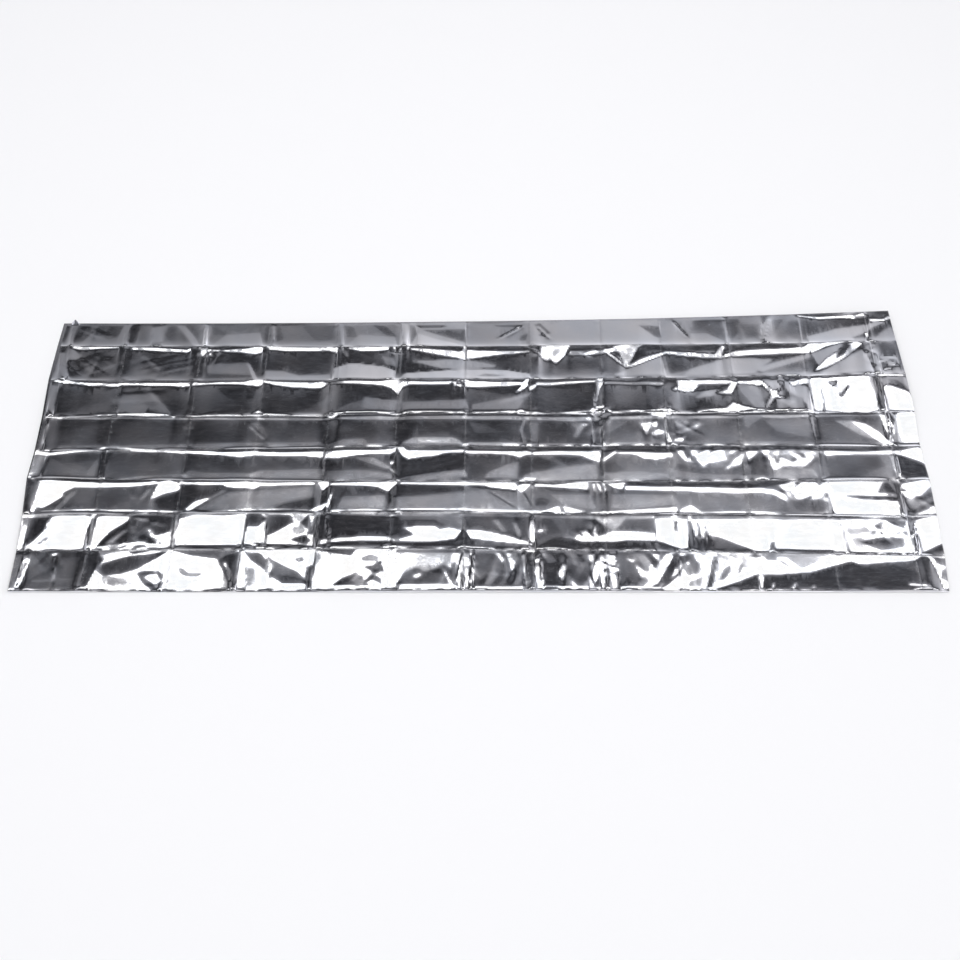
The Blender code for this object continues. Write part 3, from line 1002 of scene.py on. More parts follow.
ROW_6 = (
    DUSK(20, 86, 60, 30, 100, 25, 160, 22, 165, 60, 175, 86, 80, 87),
    GREY(62, 36, 70, 40, 50, 86, 42, 86),
    DIM(125, 70, 145, 60, 170, 60, 175, 85, 130, 85),
    GREY(138, 40, 150, 60, 160, 25, 165, 30, 156, 60, 142, 60),
    DARK(198, 10, 265, 16, 270, 28, 230, 58, 215, 70, 210, 90, 178, 86, 170, 60, 200, 35),
    DARK(265, 20, 315, 28, 295, 36, 272, 34),
    GREY(242, 68, 272, 36, 310, 30, 390, 16, 390, 45, 340, 70, 320, 87, 228, 90),
    SOFT(262, 29, 268, 31, 245, 60, 236, 64),
    LIGHT(242, 53, 245, 57, 216, 94, 211, 88, 224, 64),
    DARK(338, 84, 350, 70, 393, 50, 397, 84, 375, 88),
    DUSK(410, 20, 435, 15, 430, 45, 420, 60, 412, 45),
    GREY(430, 50, 490, 45, 495, 85, 425, 88),
    DARK(450, 17, 480, 20, 490, 34, 450, 34),
    LIGHT(384, 93, 395, 80, 408, 68, 410, 75, 402, 94, 392, 102),
    LIGHT(412, 42, 416, 42, 413, 85, 409, 82),
    BLACK(495, 32, 506, 8, 520, 10, 515, 50, 500, 50),
    DARK(515, 12, 600, 18, 600, 30, 550, 42, 515, 50),
    GREY(500, 55, 560, 45, 630, 30, 675, 85, 495, 86),
    BLACK(602, 11, 630, 13, 632, 18, 676, 27, 675, 33, 630, 24, 610, 20),
    DUSK(635, 30, 638, 30, 678, 82, 674, 82),
    DUSK(686, 32, 690, 32, 703, 90, 698, 90),
    DARK(705, 15, 770, 22, 785, 34, 730, 30),
    DARK(704, 60, 712, 50, 725, 60, 720, 75, 705, 78),
    GREY(725, 40, 780, 40, 788, 85, 745, 75),
    DIM(788, 50, 808, 45, 808, 86, 794, 86, 790, 60),
    DIM(925, 72, 950, 55, 970, 62, 995, 86, 940, 90),
    GREY(810, 40, 900, 40, 910, 70, 840, 85, 810, 85),
    DUSK(1055, 58, 1098, 55, 1095, 90, 1060, 85),
    LIGHT(1108, 8, 1180, 6, 1172, 35, 1195, 45, 1150, 44, 1108, 45),
    DARK(1178, 10, 1186, 10, 1195, 40, 1170, 36),
    LIGHT(1110, 50, 1130, 48, 1150, 57, 1195, 57, 1193, 102, 1160, 104, 1110, 98),
    BLACK.strip(1128, 43, 47, 1160, 47, 53, 1195, 50, 60),
    BLACK(1193, 10, 1202, 5, 1202, 105, 1195, 105),
    DIM(1202, 50, 1250, 50, 1300, 20, 1300, 75, 1230, 95, 1200, 90),
    DARK(1240, 52, 1300, 35, 1300, 48, 1250, 62),
    DARK(1220, 85, 1260, 70, 1300, 60, 1300, 68, 1240, 88),
    LIGHT(1202, 20, 1210, 12, 1300, 0, 1300, 20, 1260, 45, 1230, 48, 1202, 46),
    LIGHT(1215, 100, 1240, 92, 1300, 72, 1300, 93, 1240, 101),
    BLACK(0, 5, 8, 5, 9, 90, 0, 95),
    # Front of the fourth ridge
    BLACK.strip(10, 1, 5, 90, 2, 9, 160, 1, 4),
    LIGHT(14, 6, 35, 7, 70, 10, 62, 30, 50, 40, 53, 50, 40, 66, 30, 78, 10, 90, 14, 60),
    LIGHT.strip(64, 10, 24, 100, 12, 24, 140, 9, 20, 174, 3, 12),
    LIGHT(172, 5, 185, 1, 197, 8, 200, 30, 182, 40, 165, 58, 168, 35),
    LIGHT.strip(198, 5, 12, 230, 7, 15, 260, 7, 14, 268, 6, 22, 306, 5, 26, 315, 7, 16, 390, 3, 10),
    LIGHT(392, 0, 410, 1, 413, 14, 406, 22, 402, 32, 397, 12),
    LIGHT.strip(410, 6, 14, 450, 5, 15, 478, 5, 18, 493, 1, 33, 500, 0, 20, 505, 2, 8),
    LIGHT.strip(510, 4, 10, 590, 6, 13, 630, 6, 13, 640, 4, 20, 677, 3, 27),
    LIGHT(680, 15, 685, 7, 700, 6, 693, 20, 684, 36, 680, 25),
    LIGHT.strip(703, 5, 15, 730, 10, 17, 750, 5, 20, 778, 0, 24),
    LIGHT(784, 5, 787, 5, 788, 30, 785, 28),
    LIGHT(790, 5, 794, 5, 797, 32, 793, 30),
    LIGHT(798, 5, 802, 5, 804, 30, 800, 30),
    LIGHT(805, 8, 832, 4, 826, 26, 814, 20),
    BLACK.strip(832, 2, 13, 900, 2, 16, 980, 3, 21, 1020, 3, 22, 1050, 2, 10),
    LIGHT.strip(830, 16, 28, 900, 17, 29, 940, 18, 33, 980, 22, 36, 1020, 25, 38, 1036, 28, 44, 1050,
        42, 62),
    LIGHT(1042, 16, 1060, 2, 1095, 10, 1110, 30, 1110, 95, 1102, 60, 1085, 50, 1055, 50),
    *shards(1050, 1105, 6, 30, GREY, LIGHT, DARK, LIGHT, PALE, LIGHT, SHADE, LIGHT),
    *shards(1044, 1108, 54, -26, LIGHT, GREY, LIGHT, DARK, LIGHT, GREY, LIGHT),
    GREY(1103, 35, 1106, 35, 1108, 90, 1104, 90),
    # Back of the second valley
    LIGHT.strip(10, 89, 93, 50, 87, 91, 100, 86, 90, 150, 88, 92, 210, 93, 97),
    LIGHT.strip(220, 95, 99, 300, 87, 91, 350, 85, 88, 385, 88, 91),
    LIGHT.strip(410, 92, 95, 500, 88, 92, 600, 88, 92, 710, 93, 97),
    DARK.strip(10, 94, 97, 100, 92, 95, 210, 98, 101),
    DARK.strip(220, 100, 102, 300, 92, 95, 350, 89, 92, 410, 96, 99, 500, 93, 96, 710, 97, 100),
    LIGHT(710, 98, 737, 75, 739, 100, 720, 100),
    LIGHT(742, 76, 775, 93, 760, 98, 747, 103),
    LIGHT.strip(780, 94, 97, 810, 94, 97, 850, 87, 95, 905, 79, 95),
    LIGHT(906, 99, 910, 85, 924, 72, 935, 90, 942, 98),
    LIGHT.strip(935, 92, 95, 1000, 92, 96, 1060, 93, 96, 1110, 96, 100),
)
ROW_7 = (
    BLACK.strip(750, 1, 5, 820, 0, 4, 905, -3, 5),
    BLACK.strip(910, 0, 5, 1050, 0, 4, 1140, 1, 5),
    GREY.strip(15, -2, 5, 100, -4, 4, 200, 2, 6, 220, 3, 13, 300, -4, 2, 400, -1, 3),
    GREY.strip(400, 0, 3, 500, -2, 10, 600, -2, 10, 700, 1, 10),
    GREY.strip(700, 5, 10, 800, 5, 16, 900, 6, 13, 1000, 5, 12, 1100, 6, 13, 1160, 6, 10),
    SHADE.strip(920, 12, 14, 1000, 12, 14, 1100, 13, 15),
    DARK(10, 8, 36, 8, 34, 40, 20, 75, 12, 85),
    LIGHT(30, 92, 38, 55, 36, 20, 42, 6, 95, 6, 97, 86),
    GREY(25, 88, 38, 60, 42, 62, 38, 80),
    LIGHT(18, 85, 35, 45, 38, 50, 22, 86),
    LIGHT(3, 30, 9, 30, 9, 85, 4, 80),
    DARK(94, 40, 98, 12, 102, 12, 102, 90, 97, 86),
    LIGHT(104, 6, 142, 6, 142, 20, 122, 48, 109, 86, 103, 80),
    DARK(109, 90, 122, 50, 140, 22, 146, 5, 196, 8, 198, 40, 185, 65, 182, 82, 130, 86),
    PALE(120, 78, 140, 42, 143, 48, 128, 80),
    PALE(148, 10, 166, 14, 168, 22, 156, 20),
    GREY(147, 35, 152, 35, 160, 80, 153, 80),
    LIGHT(167, 42, 172, 42, 185, 78, 182, 86, 172, 65),
    LIGHT(179, 60, 195, 50, 200, 90, 190, 90),
    LIGHT(204, 13, 250, 8, 300, 2, 300, 86, 205, 89),
    LIGHT(303, 2, 395, 2, 395, 86, 303, 86),
    DARK(302, 0, 320, 0, 328, 15, 320, 36, 304, 37),
    DARK(330, 2, 362, 5, 366, 25, 342, 54, 333, 62, 330, 30),
    PALE(364, 2, 386, 2, 372, 27),
    DARK(386, 2, 393, 5, 394, 60, 387, 60, 388, 45, 376, 25),
    BLUSH(360, 42, 375, 25, 387, 50, 368, 66),
    DARK(364, 72, 385, 60, 393, 75, 388, 86),
    BLACK(400, 8, 514, 10, 520, 60, 490, 66, 450, 68, 408, 76, 400, 50),
    LIGHT(388, 5, 393, 8, 397, 50, 400, 90, 394, 90, 394, 50),
    LIGHT(410, 15, 413, 17, 416, 40, 420, 60, 415, 66, 412, 40),
    LIGHT.strip(403, 76, 88, 430, 71, 81, 460, 67, 78, 495, 66, 78, 508, 76, 81),
    BLACK.strip(410, 86, 93, 460, 80, 90, 505, 81, 90),
    DIM(510, 13, 600, 10, 600, 48, 575, 40, 520, 38),
    DARK(515, 20, 560, 20, 575, 36, 525, 38, 530, 60, 512, 70),
    LIGHT(517, 42, 540, 37, 562, 38, 566, 48, 580, 42, 598, 50, 588, 72, 560, 80, 505, 80, 533, 62),
    BLACK.strip(506, 83, 92, 550, 83, 92, 588, 76, 92),
    BLACK(597, 48, 600, 48, 614, 92, 586, 92),
    DARK(603, 12, 697, 12, 695, 78, 655, 56, 608, 48),
    GREY(642, 20, 650, 18, 662, 50, 655, 52),
    PALE(672, 28, 677, 28, 682, 50, 682, 68, 677, 60),
    LIGHT(602, 48, 630, 50, 660, 60, 698, 82, 700, 87, 610, 72),
    DIM(616, 75, 695, 87, 690, 92, 616, 92),
    DUSK(704, 10, 770, 13, 792, 30, 760, 60, 730, 66, 708, 84),
    DARK(704, 15, 725, 15, 740, 50, 715, 65, 705, 80),
    LIGHT(697, 20, 702, 18, 704, 70, 702, 82, 694, 72, 695, 40),
    LIGHT(704, 52, 710, 44, 720, 45, 710, 54),
    PALE(783, 10, 830, 12, 822, 30, 813, 46, 800, 35),
    DUSK(820, 45, 832, 18, 872, 13, 872, 60, 840, 52),
    LIGHT(708, 87, 728, 68, 750, 63, 758, 66, 765, 50, 774, 44, 780, 60, 786, 33, 790, 62, 812, 47, 860,
        50, 900, 55, 910, 93, 860, 78, 800, 81, 760, 82, 740, 70),
    DARK(762, 50, 766, 50, 770, 62, 766, 64),
    DARK(778, 42, 781, 40, 784, 62, 780, 62),
    LIGHT(872, 12, 920, 13, 920, 90, 900, 88, 866, 64, 872, 60),
    LIGHT(918, 13, 1120, 13, 1116, 94, 1035, 90, 1005, 97, 950, 68, 920, 92),
    BLACK(705, 101, 710, 86, 728, 67, 750, 65, 764, 75, 800, 77, 850, 72, 880, 75, 920, 101),
    DARK(900, 17, 904, 20, 902, 52, 899, 40),
    DARK(918, 17, 922, 17, 925, 60, 930, 65, 920, 95, 916, 90),
    DARK(931, 27, 934, 68, 928, 72),
    DARK(941, 30, 943, 66, 937, 68),
    BLACK(913, 100, 928, 72, 947, 54, 950, 100),
    DUSK(949, 57, 962, 64, 978, 77, 1008, 98, 950, 98),
    SHADE(962, 74, 980, 84, 1006, 98, 957, 98),
    DARK(1019, 95, 1022, 74, 1027, 70, 1027, 94),
    BLACK(1020, 99, 1030, 89, 1100, 91, 1102, 99),
    LIGHT(1120, 10, 1200, 10, 1200, 94, 1120, 94),
    PALE(1120, 20, 1145, 22, 1150, 40, 1130, 50, 1120, 45),
    SOFT(1114, 20, 1118, 20, 1120, 90, 1116, 90),
    PALE(1124, 60, 1142, 50, 1140, 86, 1128, 84),
    DIM(1148, 55, 1156, 30, 1164, 12, 1170, 14, 1162, 40, 1158, 52),
    DIM(1134, 70, 1160, 56, 1192, 54, 1190, 80, 1160, 90, 1146, 78),
    DARK(1172, 10, 1198, 12, 1194, 34, 1182, 22),
    GREY(1184, 36, 1197, 40, 1195, 50, 1180, 48),
    DARK(1208, 10, 1225, 10, 1222, 60, 1215, 95, 1205, 92, 1212, 50),
    LIGHT(1225, 10, 1300, -2, 1300, 70, 1220, 97),
    BLACK(1218, 97, 1260, 83, 1300, 69, 1300, 105, 1230, 102),
    BLACK.strip(203, 87, 94, 290, 86, 93, 300, 88, 93, 350, 84, 92, 395, 90, 96),
    LIGHT.strip(10, 88, 95, 100, 90, 97, 140, 82, 88, 160, 78, 86, 200, 90, 98),
    BLACK.strip(1120, 94, 99, 1200, 95, 100),
)
ROW_8 = (
    LIGHT(110, 2, 1300, 2, 1300, 95, 110, 95),
    DUSK(616, 8, 820, 8, 818, 60, 812, 92, 616, 92),
    DARK(402, 2, 455, 2, 450, 18, 430, 12),
    DIM.strip(510, 2, 10, 690, 2, 10),
    DUSK.strip(705, 2, 10, 890, 2, 10),
    GREY.strip(410, -6, 0, 500, -7, 1, 600, -6, 2, 700, -4, 3),
    GREY.strip(890, 4, 10, 950, 4, 12, 1030, 4, 12, 1110, 3, 7),
    DUSK(8, 0, 100, 0, 98, 96, 8, 96),
    DIM(18, 5, 42, 35, 50, 50, 38, 60, 25, 75, 20, 40),
    DARK(20, 0, 30, 0, 50, 40, 42, 40),
    DARK(50, 10, 57, 15, 60, 60, 50, 50),
    DIM(65, 20, 90, 15, 90, 70, 70, 70),
    LIGHT(12, 15, 16, 12, 21, 25, 19, 60, 13, 95, 8, 90, 10, 50),
    DARK(13, 30, 17, 30, 16, 70, 12, 70),
    BLUSH.strip(30, 75, 78, 60, 74, 77, 90, 72, 75),
    BLUSH(57, 45, 59, 45, 62, 75, 59, 75),
    LIGHT(48, 10, 56, 4, 60, 8, 54, 15),
    BLACK(95, 5, 112, 0, 120, 25, 112, 55, 106, 96, 96, 96),
    DUSK(113, 46, 120, 34, 145, 18, 170, 12, 197, 3, 182, 22, 165, 46, 145, 58, 125, 62, 117, 56),
    DARK(150, 5, 180, 0, 170, 6, 156, 10),
    DARK(164, 56, 172, 50, 182, 52, 186, 60, 178, 60, 172, 68, 182, 78, 190, 96, 182, 96, 170, 78),
    DARK(186, 48, 193, 58, 196, 96, 190, 96, 192, 75),
    DIM(203, 2, 250, 3, 300, -2, 285, 12, 270, 23, 230, 14),
    GREY(212, 42, 220, 44, 230, 56, 255, 55, 242, 68, 220, 64),
    BLACK(269, 24, 280, 14, 298, 3, 300, 96, 290, 96, 285, 75, 276, 45),
    LIGHT(276, 30, 282, 32, 290, 55, 293, 80, 288, 75, 283, 50),
    DUSK(304, 4, 325, 6, 336, 25, 338, 60, 330, 40, 315, 25),
    DIM(336, 15, 350, 30, 380, 55, 394, 80, 360, 80, 342, 62, 346, 40),
    DARK(355, 60, 390, 72, 393, 82, 360, 82),
    GREY(373, 22, 385, 17, 387, 30, 380, 32),
    DARK(392, 40, 400, 38, 400, 95, 395, 95),
    PALE(435, 88, 450, 60, 466, 50, 462, 72, 455, 90),
    DARK(428, 88, 442, 70, 458, 62, 452, 78, 480, 88),
    PALE(230, 88, 250, 72, 266, 90),
    PALE(308, 40, 322, 46, 332, 90, 314, 90),
    SOFT(455, 74, 466, 62, 470, 88, 458, 92),
    PALE(120, 64, 150, 66, 165, 90, 128, 92),
    PALE(1036, 10, 1085, 10, 1078, 24, 1056, 44, 1050, 30),
    SOFT(905, 36, 930, 26, 926, 56, 912, 64),
    PALE(952, 8, 968, 8, 966, 24, 956, 30),
    GREY(912, 76, 930, 66, 926, 90, 912, 90),
    PALE(970, 12, 995, 10, 997, 40, 986, 45),
    GREY(460, 25, 475, 14, 488, 20, 485, 32, 470, 32),
    DARK(468, 45, 478, 42, 490, 28, 494, 55, 482, 60, 476, 52),
    DUSK(466, 85, 480, 62, 492, 72, 492, 86, 480, 75),
    PALE(512, 8, 527, 15, 524, 35, 515, 30),
    BLUSH(512, 30, 530, 12, 590, 10, 590, 38, 575, 45, 555, 62, 530, 50, 516, 70),
    DUSK(512, 86, 522, 58, 538, 46, 550, 56, 562, 50, 572, 38, 586, 50, 590, 86),
    LIGHT(532, 66, 544, 58, 546, 64, 538, 72),
    LIGHT(572, 50, 576, 50, 586, 86, 582, 86),
    DUSK(584, 40, 590, 30, 593, 90, 588, 90),
    DARK(597.5, 10, 601, 10, 602, 95, 598, 95),
    DARK(609, 15, 616, 15, 612, 70, 616, 95, 611, 95, 608, 60),
    DUSK(620, 20, 655, 8, 692, 6, 688, 50, 690, 87, 618, 87, 630, 66, 636, 50),
    *shards(620, 690, 88, -50, BLACK, SOFT, DARK, DIM, BLACK, SOFT, DARK),
    *shards(645, 685, 8, 50, LIGHT, DARK, LIGHT, GREY, BLACK),
    BLACK(688, 5, 700, 5, 703, 95, 693, 95),
    LIGHT(684, 14, 689, 10, 691, 50, 697, 92, 690, 95, 686, 60),
    BLACK(702, 5, 742, 8, 750, 18, 724, 55, 716, 90, 710, 50, 705, 25),
    DIM(710, 8, 725, 10, 732, 30, 720, 35),
    BLACK(714, 90, 720, 60, 745, 28, 750, 50, 754, 92),
    LIGHT(702, 24, 709, 22, 715, 90, 705, 95, 702, 60),
    *shards(745, 790, 90, -62, WALL, LIGHT, SHADE, SOFT, LIGHT, SHADE),
    *shards(750, 792, 10, 45, GREY, BLACK, DIM, LIGHT, BLACK),
    DARK(758, 85, 772, 36, 780, 30, 779, 60, 768, 87),
    LIGHT(780, 62, 784, 30, 790, 26, 788, 70, 783, 84),
    LIGHT(733, 60, 740, 34, 745, 40, 740, 80),
    DUSK(758, 50, 760, 20, 770, 12, 765, 35),
    GREY(794, 10, 806, 10, 800, 55, 797, 50),
    DARK(797, 30, 801, 30, 805, 92, 798, 92),
    LIGHT(804, 16, 812, 10, 817, 50, 814, 92, 807, 94, 804, 60),
    LIGHT(791, 12, 796, 12, 799, 60, 797, 94, 793, 90, 790, 50),
    SHADE(815, 10, 821, 10, 820, 40, 821, 90, 817, 90, 819, 50),
    DUSK(818, 12, 855, 16, 860, 50, 840, 90, 818, 92, 817, 50),
    *shards(820, 875, 8, 55, SHADE, DIM, SOFT, DARK, LIGHT),
    LIGHT(840, 35, 860, 62, 850, 76, 845, 60),
    *shards(820, 880, 92, -30, BLACK, DARK, GREY, LIGHT, DARK, SOFT),
    *shards(875, 930, 6, 60, DIM, LIGHT, DARK, LIGHT, DUSK, LIGHT),
    LIGHT(827, 20, 840, 25, 836, 32),
    DARK(872, 78, 884, 45, 895, 12, 897, 42, 884, 85),
    DARK(874, 96, 880, 80, 898, 58, 906, 40, 902, 60, 885, 85),
    DUSK(902, 12, 925, 6, 918, 20, 906, 34),
    DARK(945, 10, 952, 14, 946, 60, 942, 92, 934, 92, 940, 60),
    DIM(952, 72, 958, 45, 968, 30, 966, 50, 958, 72),
    DIM(979, 30, 984, 30, 980, 50, 974, 62),
    DIM(1008, 3, 1026, 3, 1026, 22, 1014, 22),
    GREY(1027, 20, 1032, 20, 1048, 42, 1042, 42),
    BLACK(945, 96, 975, 76, 1000, 57, 1030, 58, 1070, 50, 1120, 20, 1130, 28, 1200, 15, 1220, 4, 1245,
        6, 1266, 45, 1280, 96),
    DARK(1125, 30, 1190, 22, 1195, 50, 1130, 60),
    BLACK(1000, 66, 1060, 58, 1110, 40, 1180, 30, 1250, 20, 1262, 60, 1272, 92, 985, 92),
    LIGHT(1001, 58, 1008, 60, 1005, 95, 1001, 95),
    LIGHT(1015, 95, 1018, 80, 1020, 80, 1018, 95),
    LIGHT(1040, 95, 1045, 80, 1048, 80, 1044, 95),
    BLUSH(1066, 95, 1068, 84, 1070, 84, 1069, 95),
    DARK(1200, 25, 1215, 12, 1222, 50, 1202, 75),
    LIGHT.strip(1185, 82, 87, 1210, 85, 90, 1235, 87, 90),
    DIM(1260, 5, 1300, 10, 1300, 34, 1270, 22),
    DIM(1284, 42, 1300, 34, 1300, 76, 1278, 66),
)

FACETS: tuple[Facet, ...] = tuple(
    part.in_row(row)
    for row, parts in enumerate((ROW_1, ROW_2, ROW_3, ROW_4, ROW_5, ROW_6, ROW_7, ROW_8))
    for part in parts
)

CREASES: tuple[Crease, ...] = (
    Crease((2.85, 3.25), (3.15, 3.75), 0.15, 5), Crease((6.35, 5.28), (6.76, 5.82), -0.12, 4),
    Crease((6.85, 5.3), (7.02, 5.9), 0.12, 4), Crease((9.2, 0.1), (9.43, 0.8), -0.5, 5),
    Crease((10.6, 0.1), (10.48, 0.85), 0.6, 5), Crease((7.1, 0.2), (7.3, 0.8), 0.5, 6),
    Crease((6.9, 0.2), (6.5, 0.7), -0.5, 6), Crease((0.15, 7.1), (0.1, 7.95), 0.8, 6),
    Crease((0.55, 7.1), (0.6, 7.75), 0.4, 5), Crease((12.1, 2), (12.05, 3), 1, 5),
    Crease((12.12, 3.05), (12, 3.9), 1, 5), Crease((12.2, 6.1), (12.1, 6.95), 1, 5),
    Crease((12.1, 4.3), (12.1, 4.95), 0.8, 6), Crease((6, 7.05), (5.9, 7.9), 0.8, 4),
    Crease((6.15, 7.05), (6.1, 7.9), 0.8, 4), Crease((7.1, 7.3), (7.12, 7.9), 0.8, 5),
    Crease((9.3, 6.2), (9.32, 6.7), 0.5, 4), Crease((9.4, 6.3), (9.4, 6.7), 0.5, 4),
)

CRUSHES: tuple[Crush, ...] = (
    Crush(0.5, 0.4, 0.35, 0.3, 0.35, 6), Crush(0.55, 1.5, 0.5, 0.45, 0.25, 7),
    Crush(1.6, 1.5, 0.6, 0.45, 0.22, 8), Crush(2.2, 1.3, 0.3, 0.3, 0.4, 8),
    Crush(1.3, 2.4, 0.4, 0.4, 0.3, 9), Crush(0.15, 2, 0.15, 0.12, 0.9, 9),
    Crush(2.05, 1.15, 0.15, 0.15, 0.7, 9), Crush(5, 1.1, 0.2, 0.15, 0.9, 9),
    Crush(7.05, 1.2, 0.12, 0.12, 0.9, 9), Crush(7.9, 1.25, 0.2, 0.12, 0.8, 9),
    Crush(8.45, 1.2, 0.35, 0.25, 0.7, 14), Crush(5.9, 2.12, 0.15, 0.1, 0.8, 9),
    Crush(9.6, 2.3, 0.45, 0.25, 0.8, 13), Crush(10.6, 2.35, 0.45, 0.35, 0.3, 13),
    Crush(8, 2.95, 0.15, 0.18, 1, 9), Crush(9, 3, 0.15, 0.15, 1, 9),
    Crush(8.1, 3.4, 0.5, 0.4, 0.5, 16), Crush(8.8, 3.5, 0.3, 0.4, 0.6, 14),
    Crush(9.3, 3.5, 0.3, 0.4, 0.5, 12), Crush(9.7, 4.3, 0.6, 0.3, 0.7, 14),
    Crush(10.6, 4.35, 0.4, 0.3, 0.8, 13), Crush(10.75, 5.3, 0.4, 0.28, 0.3, 7),
    Crush(12.1, 5.3, 0.12, 0.2, 1.2, 8), Crush(12.15, 6.5, 0.15, 0.45, 0.9, 9),
    Crush(12.1, 3.4, 0.15, 0.4, 1.4, 9), Crush(12.05, 1.5, 0.2, 0.45, 0.8, 12),
    Crush(11.9, 0.1, 0.25, 0.12, 1, 10), Crush(12.5, 5.7, 0.5, 0.25, 0.9, 12),
    Crush(3.15, 6.9, 0.2, 0.1, 1.2, 8), Crush(5, 6.97, 0.15, 0.08, 0.9, 7),
    Crush(8.1, 6.99, 0.9, 0.05, 0.25, 7), Crush(7.75, 6.5, 0.25, 0.2, 0.3, 10),
    Crush(1.7, 6.5, 0.3, 0.35, 0.35, 14), Crush(1.5, 6.85, 0.4, 0.1, 0.4, 9),
    Crush(3.3, 7.2, 0.25, 0.25, 0.4, 12), Crush(4.8, 7.5, 0.3, 0.4, 0.35, 14),
    Crush(5.05, 7.5, 0.12, 0.45, 0.5, 9), Crush(5.6, 7.7, 0.4, 0.2, 0.4, 12),
    Crush(6.1, 7.5, 0.18, 0.45, 0.5, 9), Crush(6.6, 7.4, 0.35, 0.4, 0.3, 14),
    Crush(7.05, 7.2, 0.15, 0.2, 0.5, 9), Crush(7.7, 7.5, 0.3, 0.4, 0.3, 14),
    Crush(8.05, 7.4, 0.15, 0.45, 0.5, 9), Crush(8.7, 7.5, 0.4, 0.4, 0.3, 15),
    Crush(9.5, 7.4, 0.3, 0.4, 0.4, 14), Crush(11.6, 6.4, 0.4, 0.35, 0.9, 15),
    Crush(1.8, 7.7, 0.2, 0.25, 0.3, 9), Crush(0.5, 7.3, 0.3, 0.3, 0.3, 14),
)

DENTS: tuple[Dents, ...] = (
    Dents(Zone.CELLS, 12, 0.14, 0.070, 20.0, 1.4),
    Dents(Zone.ALL_OVER, 13, 0.05, 0.030, -35.0, 1.3),
    Dents(Zone.CORNERS, 14, 0.38, 0.011, 50.0),
    Dents(Zone.CROSS_FOLDS, 15, 0.06, 0.012, 10.0),
)


# ---- Patterns of crumpling ----


@dataclass(frozen=True)
class Crumple:
    """Uneven surfaces that repeat exactly for the same seed.

    side is the size of the table that a pattern is read from, and the starts are where in
    it the places begin. uneven and bend say how much the width and the direction of pleats
    change, and wander how far the corners of facets are moved, as shares of their size.
    """

    seed: int
    side: int = 97
    wave_start: tuple[float, float] = (31.7, 17.3)
    pleat_start: float = 37.3
    facet_start: tuple[float, float] = (23.1, 41.9)
    uneven: float = 0.35
    uneven_pace: float = 2.1
    bend: float = 0.5
    bend_size: float = 4.0
    wander: float = 0.45
    wander_sizes: tuple[float, float] = (1.7, 1.9)
    facet_depth: float = 0.866

    def _heights(self) -> Array:
        """A square table of heights from -1 to 1."""
        return np.random.default_rng(self.seed).uniform(-1.0, 1.0, (self.side, self.side))

    def waves(self, x: Array, y: Array, size: float) -> Array:
        """A smooth uneven surface.

        Args:
            x: Places along the blanket.
            y: Places across it.
            size: Distance between its bumps.

        Returns:
            Heights from about -1 to 1.
        """
        table = self._heights()
        u, v = x / size + self.wave_start[0], y / size + self.wave_start[1]
        col, row = np.floor(u).astype(int), np.floor(v).astype(int)
        fu, fv = u - col, v - row
        fu, fv = fu * fu * (3 - 2 * fu), fv * fv * (3 - 2 * fv)
        n = self.side
        low = table[col % n, row % n] * (1 - fu) + table[(col + 1) % n, row % n] * fu
        high = table[col % n, (row + 1) % n] * (1 - fu) + table[(col + 1) % n, (row + 1) % n] * fu
        return low * (1 - fv) + high * fv

    def pleats(self, x: Array, y: Array, size: float, turn: float) -> Array:
        """A surface of flat strips with long straight creases between them.

        Args:
            x: Places along the blanket.
            y: Places across it.
            size: Mean width of a strip.
            turn: Direction in which the strips follow one another, in degrees.

        Returns:
            Heights from -1 to 1.
        """
        angle = math.radians(turn)
        along = (x * math.cos(angle) + y * math.sin(angle)) / size + self.pleat_start
        bend = Crumple(self.seed + BEND_SEED).waves(x, y, size * self.bend_size)
        uneven = self.uneven * np.sin(along * self.uneven_pace + self.seed)
        along = along + uneven + self.bend * bend
        pleat = np.floor(along).astype(int)
        share = along - pleat
        line = self._heights()[0]
        return line[pleat % self.side] * (1 - share) + line[(pleat + 1) % self.side] * share

    def facets(self, x: Array, y: Array, size: float, turn: float, stretch: float = 1.0) -> Array:
        """A surface of flat three-sided facets with sharp creases between them.

        Args:
            x: Places along the blanket.
            y: Places across it.
            size: Length of a facet's sides.
            turn: How far the pattern is turned, in degrees.
            stretch: How much longer the facets are along the pattern's first direction.

        Returns:
            Heights from -1 to 1.
        """
        table = self._heights()
        bend = Crumple(self.seed + BEND_SEED)
        x = x + self.wander * size * bend.waves(x, y, size * self.wander_sizes[0])
        y = y + self.wander * size * bend.waves(y, x, size * self.wander_sizes[1])
        angle = math.radians(turn)
        along = (x * math.cos(angle) + y * math.sin(angle)) / (size * stretch)
        across = (y * math.cos(angle) - x * math.sin(angle)) / (size * self.facet_depth)
        u, v = along - 0.5 * across + self.facet_start[0], across + self.facet_start[1]
        col, row = np.floor(u).astype(int), np.floor(v).astype(int)
        fu, fv = u - col, v - row
        n = self.side
        corner, right = table[col % n, row % n], table[(col + 1) % n, row % n]
        above, far = table[col % n, (row + 1) % n], table[(col + 1) % n, (row + 1) % n]
        lower = corner + fu * (right - corner) + fv * (above - corner)
        upper = far + (1 - fu) * (above - far) + (1 - fv) * (right - far)
        return np.where(fu + fv < 1, lower, upper)


# ---- The film ----


def beside_line(u: Array, v: Array, start: Array, end: Array) -> tuple[Array, Array]:
    """Where places lie beside a straight line.

    Args:
        u: First coordinates of the places.
        v: Second coordinates of the places.
        start: Where the line starts.
        end: Where it ends.

    Returns:
        How far along the line each place lies, from 0 to 1, and how far away from it.
    """
    du, dv = end - start
    u, v = u - start[0], v - start[1]
    along = np.clip((u * du + v * dv) / (du * du + dv * dv), 0.0, 1.0)
    return along, np.hypot(u - along * du, v - along * dv)


